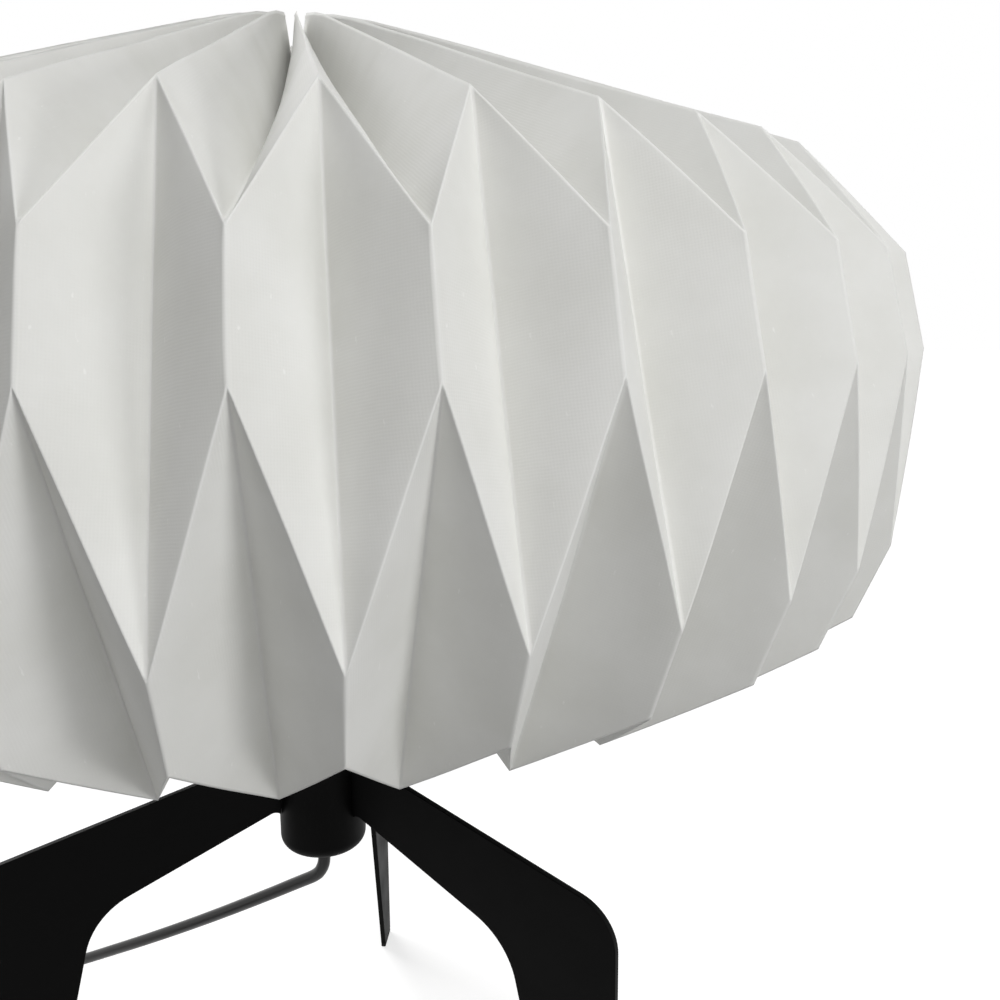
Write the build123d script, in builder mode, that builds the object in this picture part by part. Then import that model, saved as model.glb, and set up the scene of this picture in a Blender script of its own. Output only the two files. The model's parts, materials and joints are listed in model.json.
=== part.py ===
from build123d import *
import math
import os

os.makedirs("parts", exist_ok=True)

# A pleated paper table lamp on three flat steel legs. Millimetres, +Z up. The origin is on the
# table, on the lamp's upright axis, and the rear leg stands along +Y.

# ---------------------------------------------------------------- driving sizes
# Clearances
SEAT_GAP = 0.3
THREAD_GAP = 0.05
FLOOR_GAP = 0.1

# Paper shade: radii of its folds, and their heights above or below the widest fold
PLEAT_COUNT = 36
PLEAT_TURN = 6.0
PAPER_THICKNESS = 0.6
WAIST_HEIGHT = 405.7
WAIST_RADIUS = 250.0
TOP_RIDGE_RADIUS = 24.5
TOP_RIDGE_RISE = 128.3
TOP_VALLEY_RADIUS = 15.6
TOP_VALLEY_RISE = 99.6
SHOULDER_RIDGE_RADIUS = 207.9
SHOULDER_RIDGE_RISE = 67.2
SHOULDER_VALLEY_RADIUS = 241.8
SHOULDER_VALLEY_RISE = 32.2
HIP_RADIUS = 246.7
HIP_DROP = 64.4
RIM_RIDGE_RADIUS = 236.5
RIM_RIDGE_DROP = 91.3
RIM_VALLEY_RADIUS = 194.7
RIM_VALLEY_DROP = 119.7
MOUTH_RIDGE_RADIUS = 125.9
MOUTH_RIDGE_DROP = 73.8
MOUTH_VALLEY_RADIUS = 127.1
MOUTH_VALLEY_DROP = 101.6

# Base
LEG_COUNT = 3
LEG_THICKNESS = 3.0
PAD_HEIGHT = 2.6
FOOT_REACH = 164.6
FOOT_WIDTH = 18.4
OUTER_KNEE_REACH = 161.0
OUTER_KNEE_HEIGHT = 181.9
OUTER_KNEE_RADIUS = 22.0
INNER_KNEE_REACH = 109.3
INNER_KNEE_HEIGHT = 150.9
INNER_KNEE_RADIUS = 34.0
LEG_ROOT_DEPTH = 29.6
LEG_ROOT_FILLET = 3.0
LEG_HOOK_DEPTH = 6.0
LEG_HOOK_WIDTH = 3.4
HUB_RADIUS = 20.8
HUB_BOTTOM = 162.4
HUB_HEIGHT = 52.1
HUB_EDGE_RADIUS = 6.5
HUB_CAP_THICKNESS = 3.0
SLOT_INNER_RADIUS = 9.5
SLOT_GAP = 0.15

# Threaded stem and what is on it
STEM_RADIUS = 5.0
STEM_BORE_RADIUS = 3.4
WASHER_RADIUS = 9.0
WASHER_THICKNESS = 1.0
NUT_ACROSS_FLATS = 14.0
NUT_HEIGHT = 4.0
GRIP_RADIUS = 8.0
GRIP_DEPTH = 7.0
GRIP_DROP = 4.4
GRIP_THREAD_DEPTH = 5.0

# Lampholder
NECK_RADIUS = 8.0
NECK_HEIGHT = 9.0
HOLDER_RADIUS = 19.8
HOLDER_WALL = 2.2
HOLDER_CAP_HEIGHT = 25.0
HOLDER_FLANGE_RADIUS = 23.5
HOLDER_FLANGE_THICKNESS = 2.4
SKIRT_HEIGHT = 33.0
SKIRT_THREAD_DEPTH = 0.7
SKIRT_THREAD_PITCH = 3.0
INSERT_FLOOR = 8.0
INSERT_DROP = 4.0
CONTACT_SHELL_RADIUS = 14.4
CONTACT_SHELL_WALL = 0.5
CONTACT_SHELL_HEIGHT = 22.0
TONGUE_WIDTH = 6.0
TONGUE_THICKNESS = 0.6
TERMINAL_OFFSET = 9.0
TERMINAL_SIZE = 6.0
TERMINAL_SCREW_RADIUS = 1.6
LEAD_RADIUS = 1.1

# Bulb
BULB_RADIUS = 30.0
BULB_NECK_RADIUS = 13.6
BULB_NECK_HEIGHT = 9.0
BULB_GLASS_HEIGHT = 80.0
BULB_GLASS_WALL = 1.0
BULB_CAP_CREST = 13.1
BULB_CAP_ROOT = 12.3
BULB_CAP_WALL = 0.6
BULB_CAP_HEIGHT = 20.0
BULB_CAP_PITCH = 3.6
BULB_INSULATOR_HEIGHT = 3.5
BULB_TIP_RADIUS = 4.6
BULB_TIP_HEIGHT = 1.5

# Wire carrier under the shade
CARRIER_RADIUS = 46.0
CARRIER_RING_WIDTH = 8.0
CARRIER_RING_THICKNESS = 3.0
CARRIER_PLATE_THICKNESS = 2.0
UPRIGHT_RADIUS = 2.0
UPRIGHT_COUNT = 3
UPRIGHT_TURN = 30.0
SHADE_RING_RADIUS = 28.0
SHADE_RING_HEIGHT = 9.0
SHADE_RING_RIBS = 30

# Mains lead
CORD_DIAMETER = 6.2
COIL_TURN_GAP = 2.0
COIL_LAYER_GAP = 0.8
COIL_INNER_RADIUS = 26.0
COIL_SPIRAL_HALF_TURNS = 5
COIL_TIE_THICKNESS = 1.2
COIL_TIE_WIDTH = 16.0
COIL_SETBACK = 58.0
COIL_FEED_STRAIGHT = 13.0
COIL_FEED_FALL = 21.0
PLUG_FEED_STRAIGHT = 11.0
PLUG_FEED_FALL = 12.0

# Hand switch on the lead
SWITCH_LENGTH = 60.0
SWITCH_WIDTH = 27.0
SWITCH_BASE_HEIGHT = 8.6
SWITCH_COVER_HEIGHT = 10.0
SWITCH_WALL = 2.0
SWITCH_CORNER = 6.0
ROCKER_LENGTH = 20.0
ROCKER_WIDTH = 9.0
ROCKER_TILT = 8.0
ROCKER_RISE = 2.6
ROCKER_PIN_RADIUS = 1.2
SWITCH_SCREW_RADIUS = 1.3
SWITCH_SCREW_OFFSET = 22.0

# Two-pin plug
PLUG_WIDTH = 35.3
PLUG_THICKNESS = 13.7
PLUG_LENGTH = 36.0
PLUG_SLEEVE_LENGTH = 20.0
PLUG_SLEEVE_RADIUS = 4.6
PIN_RADIUS = 2.0
PIN_LENGTH = 19.0
PIN_SPACING = 18.6

# ---------------------------------------------------------------- worked-out sizes
hub_top = HUB_BOTTOM + HUB_HEIGHT
hub_cap_top = hub_top + HUB_CAP_THICKNESS
nut_bottom = hub_cap_top + WASHER_THICKNESS
holder_bottom = nut_bottom + NUT_HEIGHT + SEAT_GAP
flange_bottom = holder_bottom + HOLDER_CAP_HEIGHT
flange_top = flange_bottom + HOLDER_FLANGE_THICKNESS
skirt_top = flange_bottom + SKIRT_HEIGHT
insert_floor_top = flange_bottom - INSERT_DROP + INSERT_FLOOR
cord_radius = CORD_DIAMETER / 2
cord_exit = HUB_BOTTOM - GRIP_DROP
lying = cord_radius + FLOOR_GAP
leg_angles = {"leg_rear": 90.0, "leg_left": 210.0, "leg_right": 330.0}


def upright_plane(angle, origin=(0, 0, 0)):
    """A plane through the axis whose x runs outwards at this angle and whose y runs up."""
    turn = math.radians(angle)
    outwards = (math.cos(turn), math.sin(turn), 0)
    sideways = (math.sin(turn), -math.cos(turn), 0)
    return Plane(origin=origin, x_dir=outwards, z_dir=sideways)


def write(piece, name):
    """Labels one finished piece and writes its file."""
    piece.label = name
    export_step(piece, f"parts/{name}.step")


# ---------------------------------------------------------------- pleated shade
# One folded sheet. Ridge folds and valley folds run from the top edge to the mouth in turn, and
# three zigzag folds cross them at the shoulder, the hip and the rim. Each fold line is a list of
# (radius, height) points.
ridge_line = [
    (TOP_RIDGE_RADIUS, WAIST_HEIGHT + TOP_RIDGE_RISE),
    (SHOULDER_RIDGE_RADIUS, WAIST_HEIGHT + SHOULDER_RIDGE_RISE),
    (HIP_RADIUS, WAIST_HEIGHT - HIP_DROP),
    (RIM_RIDGE_RADIUS, WAIST_HEIGHT - RIM_RIDGE_DROP),
    (MOUTH_RIDGE_RADIUS, WAIST_HEIGHT - MOUTH_RIDGE_DROP),
]
valley_line = [
    (TOP_VALLEY_RADIUS, WAIST_HEIGHT + TOP_VALLEY_RISE),
    (SHOULDER_VALLEY_RADIUS, WAIST_HEIGHT + SHOULDER_VALLEY_RISE),
    (WAIST_RADIUS, WAIST_HEIGHT),
    (RIM_VALLEY_RADIUS, WAIST_HEIGHT - RIM_VALLEY_DROP),
    (MOUTH_VALLEY_RADIUS, WAIST_HEIGHT - MOUTH_VALLEY_DROP),
]
half_pleat = 180.0 / PLEAT_COUNT


def at_angle(point, angle):
    """The place of a (radius, height) point turned about the axis."""
    turn = math.radians(angle)
    return Vector(point[0] * math.cos(turn), point[0] * math.sin(turn), point[1])


def band_triangles(ridge, valley, band):
    """The two flat triangles of one facet, as pairs of (line number, fold number)."""
    upper_ridge = (0, band)
    upper_valley = (1, band)
    lower_ridge = (0, band + 1)
    lower_valley = (1, band + 1)
    return [(upper_ridge, lower_valley, upper_valley), (upper_ridge, lower_ridge, lower_valley)]


def inner_line(line_number):
    """The fold line on the paper's inner face, one thickness in from every facet it joins."""
    lines = (ridge_line, valley_line)
    angles = (0.0, half_pleat)
    outwards = Vector(
        math.cos(math.radians(angles[line_number])), math.sin(math.radians(angles[line_number])), 0
    )
    inner = []
    last = len(ridge_line) - 1
    for fold in range(last + 1):
        rows = []
        for band in range(max(fold - 1, 0), min(fold, last - 1) + 1):
            for triangle in band_triangles(ridge_line, valley_line, band):
                if (line_number, fold) not in triangle:
                    continue
                corners = [at_angle(lines[n][f], angles[n]) for n, f in triangle]
                normal = (corners[1] - corners[0]).cross(corners[2] - corners[0]).normalized()
                rows.append((normal.dot(outwards), normal.Z, -PAPER_THICKNESS))
        if fold in (0, last):
            # The cut edge stands square to the sheet.
            start, end = (0, 1) if fold == 0 else (last - 1, last)
            along_r = lines[line_number][end][0] - lines[line_number][start][0]
            along_z = lines[line_number][end][1] - lines[line_number][start][1]
            length = math.hypot(along_r, along_z)
            rows.append((along_r / length, along_z / length, 0.0))
        rr = sum(row[0] * row[0] for row in rows)
        rz = sum(row[0] * row[1] for row in rows)
        zz = sum(row[1] * row[1] for row in rows)
        right_r = sum(row[0] * row[2] for row in rows)
        right_z = sum(row[1] * row[2] for row in rows)
        scale = rr * zz - rz * rz
        step_r = (right_r * zz - right_z * rz) / scale
        step_z = (right_z * rr - right_r * rz) / scale
        radius, height = lines[line_number][fold]
        inner.append((radius + step_r, height + step_z))
    return inner


inner_ridge_line = inner_line(0)
inner_valley_line = inner_line(1)


def triangle_face(*corners):
    """A flat face with three corners."""
    return Face(Wire.make_polygon(corners, close=True))


def shade_faces():
    """Every facet of the folded sheet, outside and inside, and its two cut edges."""
    faces = []
    outside = (ridge_line, valley_line)
    inside = (inner_ridge_line, inner_valley_line)
    last = len(ridge_line) - 1
    for pleat in range(PLEAT_COUNT):
        middle = PLEAT_TURN + 2 * half_pleat * pleat
        for side in (1, -1):
            angles = (middle, middle + side * half_pleat)
            for band in range(last):
                for triangle in band_triangles(ridge_line, valley_line, band):
                    for lines in (outside, inside):
                        faces.append(triangle_face(*[at_angle(lines[n][f], angles[n]) for n, f in triangle]))
            for fold in (0, last):
                outer_a, outer_b = [at_angle(outside[n][fold], angles[n]) for n in (0, 1)]
                inner_a, inner_b = [at_angle(inside[n][fold], angles[n]) for n in (0, 1)]
                faces.append(triangle_face(outer_a, outer_b, inner_b))
                faces.append(triangle_face(outer_a, inner_b, inner_a))
    return faces


with BuildPart() as pleated_shade:
    add(Solid(Shell(shade_faces())))
write(pleated_shade.part, "pleated_shade")

# ---------------------------------------------------------------- wire carrier
# A flat ring under the shade's upper folds, on three upright wires that stand on a plate. The
# shade ring clamps the plate to the lampholder's flange.
top_inner, shoulder_inner = inner_valley_line[0], inner_valley_line[1]
valley_slope = (top_inner[1] - shoulder_inner[1]) / (shoulder_inner[0] - top_inner[0])
ring_top = shoulder_inner[1] + (shoulder_inner[0] - CARRIER_RADIUS) * valley_slope - SEAT_GAP
ring_bottom = ring_top - CARRIER_RING_THICKNESS
plate_bottom = flange_top
plate_top = plate_bottom + CARRIER_PLATE_THICKNESS
upright_circle = CARRIER_RADIUS - CARRIER_RING_WIDTH / 2

with BuildPart() as carrier_ring:
    with BuildSketch(Plane.XY.offset(ring_bottom)):
        Circle(CARRIER_RADIUS)
        Circle(CARRIER_RADIUS - CARRIER_RING_WIDTH, mode=Mode.SUBTRACT)
    extrude(amount=CARRIER_RING_THICKNESS)
write(carrier_ring.part, "carrier_ring")

with BuildPart() as carrier_plate:
    with BuildSketch(Plane.XY.offset(plate_bottom)):
        Circle(SHADE_RING_RADIUS + CARRIER_PLATE_THICKNESS)
        with PolarLocations(upright_circle / 2, UPRIGHT_COUNT, start_angle=UPRIGHT_TURN):
            Rectangle(upright_circle, CARRIER_RING_WIDTH)
        with PolarLocations(upright_circle, UPRIGHT_COUNT, start_angle=UPRIGHT_TURN):
            Circle(CARRIER_RING_WIDTH / 2)
        Circle(HOLDER_RADIUS + SEAT_GAP, mode=Mode.SUBTRACT)
    extrude(amount=CARRIER_PLATE_THICKNESS)
write(carrier_plate.part, "carrier_plate")

with BuildPart() as carrier_uprights:
    with BuildSketch(Plane.XY.offset(plate_top)):
        with PolarLocations(upright_circle, UPRIGHT_COUNT, start_angle=UPRIGHT_TURN):
            Circle(UPRIGHT_RADIUS)
    extrude(amount=ring_bottom - plate_top)
write(carrier_uprights.part, "carrier_uprights")

with BuildPart() as shade_ring:
    with BuildSketch(Plane.XY.offset(plate_top)):
        Circle(SHADE_RING_RADIUS)
        with PolarLocations(SHADE_RING_RADIUS, SHADE_RING_RIBS):
            Circle(1.2, mode=Mode.SUBTRACT)
        Circle(HOLDER_RADIUS + THREAD_GAP, mode=Mode.SUBTRACT)
    extrude(amount=SHADE_RING_HEIGHT)
write(shade_ring.part, "shade_ring")

# ---------------------------------------------------------------- lampholder
with BuildPart() as lampholder_cap:
    shoulder_height = holder_bottom + NECK_HEIGHT
    with BuildSketch(Plane.XZ):
        with BuildLine():
            Polyline(
                (STEM_RADIUS + THREAD_GAP, holder_bottom),
                (NECK_RADIUS, holder_bottom),
                (NECK_RADIUS, shoulder_height),
                (HOLDER_RADIUS - 3, shoulder_height + 2),
                (HOLDER_RADIUS, shoulder_height + 6),
                (HOLDER_RADIUS, flange_bottom),
                (HOLDER_RADIUS - HOLDER_WALL, flange_bottom),
                (HOLDER_RADIUS - HOLDER_WALL, shoulder_height + 7),
                (HOLDER_RADIUS - 3 - HOLDER_WALL, shoulder_height + 4),
                (STEM_RADIUS + THREAD_GAP, shoulder_height + 2),
                close=True,
            )
        make_face()
    revolve(axis=Axis.Z)
write(lampholder_cap.part, "lampholder_cap")

thread_start = flange_top + 1.0
thread_turns = int((skirt_top - thread_start - 1.0) / SKIRT_THREAD_PITCH)
thread_outline = []
for turn in range(thread_turns):
    root_height = thread_start + turn * SKIRT_THREAD_PITCH
    thread_outline.append((HOLDER_RADIUS, root_height))
    thread_outline.append((HOLDER_RADIUS - SKIRT_THREAD_DEPTH, root_height + SKIRT_THREAD_PITCH * 0.3))
    thread_outline.append((HOLDER_RADIUS - SKIRT_THREAD_DEPTH, root_height + SKIRT_THREAD_PITCH * 0.5))
    thread_outline.append((HOLDER_RADIUS, root_height + SKIRT_THREAD_PITCH * 0.8))

with BuildPart() as lampholder_skirt:
    with BuildSketch(Plane.XZ):
        with BuildLine():
            Polyline(
                (HOLDER_RADIUS - HOLDER_WALL, flange_bottom),
                (HOLDER_FLANGE_RADIUS, flange_bottom),
                (HOLDER_FLANGE_RADIUS, flange_top),
                (HOLDER_RADIUS, flange_top),
                *thread_outline,
                (HOLDER_RADIUS, skirt_top),
                (HOLDER_RADIUS - HOLDER_WALL, skirt_top),
                close=True,
            )
        make_face()
    revolve(axis=Axis.Z)
write(lampholder_skirt.part, "lampholder_skirt")

insert_radius = HOLDER_RADIUS - HOLDER_WALL - THREAD_GAP
insert_top = insert_floor_top + CONTACT_SHELL_HEIGHT
with BuildPart() as lampholder_insert:
    with BuildSketch(Plane.XY.offset(insert_floor_top - INSERT_FLOOR)):
        Circle(insert_radius)
    extrude(amount=INSERT_FLOOR)
    with BuildSketch(Plane.XY.offset(insert_floor_top)):
        Circle(insert_radius)
        Circle(CONTACT_SHELL_RADIUS + THREAD_GAP, mode=Mode.SUBTRACT)
    extrude(amount=CONTACT_SHELL_HEIGHT)
write(lampholder_insert.part, "lampholder_insert")

with BuildPart() as contact_shell:
    with BuildSketch(Plane.XY.offset(insert_floor_top)):
        Circle(CONTACT_SHELL_RADIUS)
        Circle(CONTACT_SHELL_RADIUS - CONTACT_SHELL_WALL, mode=Mode.SUBTRACT)
    extrude(amount=CONTACT_SHELL_HEIGHT)
write(contact_shell.part, "contact_shell")

tongue_reach = CONTACT_SHELL_RADIUS - CONTACT_SHELL_WALL - 3
tongue_rise = 3.0
with BuildPart() as centre_contact:
    with BuildSketch(Plane.XZ):
        with BuildLine():
            Polyline(
                (-tongue_reach, insert_floor_top),
                (-tongue_reach + 6, insert_floor_top),
                (-tongue_reach + 9, insert_floor_top + tongue_rise - TONGUE_THICKNESS),
                (3, insert_floor_top + tongue_rise - TONGUE_THICKNESS),
                (3, insert_floor_top + tongue_rise),
                (-tongue_reach + 8.6, insert_floor_top + tongue_rise),
                (-tongue_reach + 5.6, insert_floor_top + TONGUE_THICKNESS),
                (-tongue_reach, insert_floor_top + TONGUE_THICKNESS),
                close=True,
            )
        make_face()
    extrude(amount=TONGUE_WIDTH / 2, both=True)
write(centre_contact.part, "centre_contact")

insert_bottom = insert_floor_top - INSERT_FLOOR
with BuildPart() as terminal_blocks:
    with BuildSketch(Plane.XY.offset(insert_bottom - TERMINAL_SIZE)):
        with Locations((-TERMINAL_OFFSET, 0), (TERMINAL_OFFSET, 0)):
            Rectangle(TERMINAL_SIZE, TERMINAL_SIZE)
    extrude(amount=TERMINAL_SIZE)
write(terminal_blocks.part, "terminal_blocks")

with BuildPart() as terminal_screws:
    with BuildSketch(Plane.XZ.offset(TERMINAL_SIZE / 2)):
        with Locations(
            (-TERMINAL_OFFSET, insert_bottom - TERMINAL_SIZE / 2),
            (TERMINAL_OFFSET, insert_bottom - TERMINAL_SIZE / 2),
        ):
            Circle(TERMINAL_SCREW_RADIUS)
    extrude(amount=1.5)
write(terminal_screws.part, "terminal_screws")

# ---------------------------------------------------------------- bulb
tip_bottom = insert_floor_top + tongue_rise + SEAT_GAP
bulb_shell_bottom = tip_bottom + BULB_TIP_HEIGHT + BULB_INSULATOR_HEIGHT
bulb_shell_top = bulb_shell_bottom + BULB_CAP_HEIGHT

with BuildPart() as bulb_contact:
    with BuildSketch(Plane.XY.offset(tip_bottom)):
        Circle(BULB_TIP_RADIUS)
    extrude(amount=BULB_TIP_HEIGHT)
write(bulb_contact.part, "bulb_contact")

with BuildPart() as bulb_insulator:
    with BuildSketch(Plane.XY.offset(tip_bottom + BULB_TIP_HEIGHT)):
        Circle(BULB_TIP_RADIUS)
    with BuildSketch(Plane.XY.offset(bulb_shell_bottom)):
        Circle(BULB_CAP_ROOT - BULB_CAP_WALL)
    loft()
write(bulb_insulator.part, "bulb_insulator")

crest_outline = []
crest_count = int((BULB_CAP_HEIGHT - 3) / BULB_CAP_PITCH)
for turn in range(crest_count):
    crest_height = bulb_shell_bottom + 1.0 + turn * BULB_CAP_PITCH
    crest_outline.append((BULB_CAP_ROOT, crest_height))
    crest_outline.append((BULB_CAP_CREST, crest_height + BULB_CAP_PITCH * 0.4))
    crest_outline.append((BULB_CAP_ROOT, crest_height + BULB_CAP_PITCH * 0.8))

with BuildPart() as bulb_cap:
    with BuildSketch(Plane.XZ):
        with BuildLine():
            Polyline(
                (0, bulb_shell_bottom),
                (BULB_CAP_ROOT, bulb_shell_bottom),
                *crest_outline,
                (BULB_CAP_ROOT, bulb_shell_top),
                (BULB_CAP_ROOT - BULB_CAP_WALL, bulb_shell_top),
                (BULB_CAP_ROOT - BULB_CAP_WALL, bulb_shell_bottom + BULB_CAP_WALL),
                (0, bulb_shell_bottom + BULB_CAP_WALL),
                close=True,
            )
        make_face()
    revolve(axis=Axis.Z)
write(bulb_cap.part, "bulb_cap")

globe_centre = bulb_shell_top + BULB_GLASS_HEIGHT - BULB_RADIUS
neck_top = bulb_shell_top + BULB_NECK_HEIGHT


def bulb_outline(wall):
    """Half the outline of the glass, set in by this wall."""
    with BuildLine() as outline:
        seat = Line((0, bulb_shell_top + wall), (BULB_NECK_RADIUS - wall, bulb_shell_top + wall))
        neck = Line(seat @ 1, (BULB_NECK_RADIUS - wall, neck_top))
        side = (BULB_RADIUS - wall, globe_centre)
        flare = Spline(neck @ 1, side, tangents=((0.15, 1), (0, 1)))
        dome = RadiusArc(flare @ 1, (0, globe_centre + BULB_RADIUS - wall), -(BULB_RADIUS - wall))
        Line(dome @ 1, seat @ 0)
    return outline.line


with BuildPart() as bulb_glass:
    with BuildSketch(Plane.XZ):
        with BuildLine():
            add(bulb_outline(0))
        make_face()
        with BuildLine():
            add(bulb_outline(BULB_GLASS_WALL))
        make_face(mode=Mode.SUBTRACT)
    revolve(axis=Axis.Z)
write(bulb_glass.part, "bulb_glass")

# ---------------------------------------------------------------- hub, stem and nut
slot_floor = hub_top - LEG_ROOT_DEPTH - SLOT_GAP
slot_width = LEG_THICKNESS + 2 * SLOT_GAP
hook_inner_radius = SLOT_INNER_RADIUS + SLOT_GAP
hook_outer_radius = hook_inner_radius + LEG_HOOK_WIDTH

with BuildPart() as hub_cup:
    with BuildSketch(Plane.XY.offset(HUB_BOTTOM)):
        Circle(HUB_RADIUS)
        Circle(STEM_RADIUS + SLOT_GAP, mode=Mode.SUBTRACT)
    extrude(amount=HUB_HEIGHT)
    lower_edge = hub_cup.edges().filter_by(GeomType.CIRCLE).group_by(Axis.Z)[0].sort_by(SortBy.RADIUS)[-1]
    fillet(lower_edge, radius=HUB_EDGE_RADIUS)
    with BuildSketch(Plane.XY.offset(HUB_BOTTOM)):
        Circle(GRIP_RADIUS + SLOT_GAP)
    extrude(amount=GRIP_DEPTH, mode=Mode.SUBTRACT)
    # The three slots that take the legs, and the groove that their hooks drop into
    for angle in leg_angles.values():
        with BuildSketch(upright_plane(angle)):
            with Locations((SLOT_INNER_RADIUS, slot_floor)):
                Rectangle(HUB_RADIUS, HUB_HEIGHT, align=(Align.MIN, Align.MIN))
        extrude(amount=slot_width / 2, both=True, mode=Mode.SUBTRACT)
    with BuildSketch(Plane.XY.offset(slot_floor - LEG_HOOK_DEPTH - SLOT_GAP)):
        Circle(hook_outer_radius + SLOT_GAP)
        Circle(SLOT_INNER_RADIUS, mode=Mode.SUBTRACT)
    extrude(amount=LEG_HOOK_DEPTH + 2 * SLOT_GAP, mode=Mode.SUBTRACT)
write(hub_cup.part, "hub_cup")

with BuildPart() as hub_cap:
    with BuildSketch(Plane.XY.offset(hub_top)):
        Circle(HUB_RADIUS)
        Circle(STEM_RADIUS + SLOT_GAP, mode=Mode.SUBTRACT)
    extrude(amount=HUB_CAP_THICKNESS)
    upper_edge = hub_cap.edges().filter_by(GeomType.CIRCLE).group_by(Axis.Z)[-1].sort_by(SortBy.RADIUS)[-1]
    chamfer(upper_edge, length=HUB_CAP_THICKNESS / 3)
write(hub_cap.part, "hub_cap")

stem_bottom = HUB_BOTTOM + GRIP_DEPTH - GRIP_THREAD_DEPTH
with BuildPart() as threaded_stem:
    with BuildSketch(Plane.XY.offset(stem_bottom)):
        Circle(STEM_RADIUS)
        Circle(STEM_BORE_RADIUS, mode=Mode.SUBTRACT)
    extrude(amount=holder_bottom + NECK_HEIGHT - stem_bottom)
write(threaded_stem.part, "threaded_stem")

with BuildPart() as stem_washer:
    with BuildSketch(Plane.XY.offset(hub_cap_top)):
        Circle(WASHER_RADIUS)
        Circle(STEM_RADIUS + SLOT_GAP, mode=Mode.SUBTRACT)
    extrude(amount=WASHER_THICKNESS)
write(stem_washer.part, "stem_washer")

with BuildPart() as stem_nut:
    with BuildSketch(Plane.XY.offset(nut_bottom)):
        RegularPolygon(NUT_ACROSS_FLATS / 2, 6, major_radius=False)
        Circle(STEM_RADIUS + THREAD_GAP, mode=Mode.SUBTRACT)
    extrude(amount=NUT_HEIGHT)
write(stem_nut.part, "stem_nut")

with BuildPart() as cord_grip:
    with BuildSketch(Plane.XY.offset(cord_exit)):
        Circle(GRIP_RADIUS)
        Circle(cord_radius + THREAD_GAP, mode=Mode.SUBTRACT)
    extrude(amount=GRIP_DEPTH + GRIP_DROP)
    grip_edge = cord_grip.edges().filter_by(GeomType.CIRCLE).group_by(Axis.Z)[0].sort_by(SortBy.RADIUS)[-1]
    fillet(grip_edge, radius=1.5)
    with BuildSketch(Plane.XY.offset(stem_bottom)):
        Circle(STEM_RADIUS + THREAD_GAP)
    extrude(amount=GRIP_THREAD_DEPTH, mode=Mode.SUBTRACT)
write(cord_grip.part, "cord_grip")

# ---------------------------------------------------------------- legs
hook_top = hub_top - LEG_ROOT_DEPTH
root_drop = LEG_ROOT_FILLET
foot_inner = FOOT_REACH - FOOT_WIDTH
root_reach = HUB_RADIUS + SEAT_GAP
lower_slope = (hook_top - INNER_KNEE_HEIGHT) / (INNER_KNEE_REACH - HUB_RADIUS)


def leg_outline():
    """The flat outline of one leg: its root in the hub, its arm, its knee and its foot."""
    fillet_end = root_reach + root_drop * 1.4
    with BuildLine() as outline:
        Polyline(
            (hook_inner_radius, hub_top - SLOT_GAP),
            (hook_inner_radius, hook_top - LEG_HOOK_DEPTH),
            (hook_outer_radius, hook_top - LEG_HOOK_DEPTH),
            (hook_outer_radius, hook_top),
            (root_reach, hook_top),
            (root_reach, hook_top - root_drop),
        )
        RadiusArc(
            (root_reach, hook_top - root_drop),
            (fillet_end, hook_top - lower_slope * (fillet_end - HUB_RADIUS)),
            root_drop * 1.6,
        )
        Polyline(
            (fillet_end, hook_top - lower_slope * (fillet_end - HUB_RADIUS)),
            (INNER_KNEE_REACH, INNER_KNEE_HEIGHT),
            (foot_inner, PAD_HEIGHT),
            (FOOT_REACH, PAD_HEIGHT),
            (OUTER_KNEE_REACH, OUTER_KNEE_HEIGHT),
            (root_reach, hub_top - SLOT_GAP),
            (hook_inner_radius, hub_top - SLOT_GAP),
        )
    return outline.line


for leg_name, leg_angle in leg_angles.items():
    with BuildPart() as leg:
        with BuildSketch(upright_plane(leg_angle)) as leg_sketch:
            with BuildLine():
                add(leg_outline())
            make_face()
            outer_knee = leg_sketch.vertices().sort_by_distance((OUTER_KNEE_REACH, OUTER_KNEE_HEIGHT))[0]
            fillet(outer_knee, radius=OUTER_KNEE_RADIUS)
            inner_knee = leg_sketch.vertices().sort_by_distance((INNER_KNEE_REACH, INNER_KNEE_HEIGHT))[0]
            fillet(inner_knee, radius=INNER_KNEE_RADIUS)
        extrude(amount=LEG_THICKNESS / 2, both=True)
    write(leg.part, leg_name)

with BuildPart() as foot_pads:
    for pad_angle in leg_angles.values():
        with BuildSketch(upright_plane(pad_angle)):
            with Locations((foot_inner, 0)):
                Rectangle(FOOT_WIDTH, PAD_HEIGHT, align=(Align.MIN, Align.MIN))
        extrude(amount=LEG_THICKNESS / 2, both=True)
    fillet(foot_pads.edges().group_by(Axis.Z)[0], radius=LEG_THICKNESS / 4)
write(foot_pads.part, "foot_pads")

# ---------------------------------------------------------------- mains lead
# Inside the stem the lead is straight. Below the hub it bends over and runs down to the table,
# curls round into the hand switch, and the rest lies coiled beside the left leg.


def corner_radii(name, points):
    """The arc radius at each corner of a route, as large as its two runs allow."""
    radii = []
    for before, corner, after in zip(points, points[1:], points[2:]):
        incoming = Vector(*corner) - Vector(*before)
        outgoing = Vector(*after) - Vector(*corner)
        half_turn = math.radians(incoming.get_angle(outgoing) / 2)
        shorter = min(incoming.length, outgoing.length)
        radii.append(0.45 * shorter / math.tan(half_turn))
    print(name, "radii", [round(radius, 1) for radius in radii])
    return radii


def section_at(start, towards, radius):
    """A plane across the start of a route."""
    return Plane(origin=start, z_dir=Vector(*towards) - Vector(*start))


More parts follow.
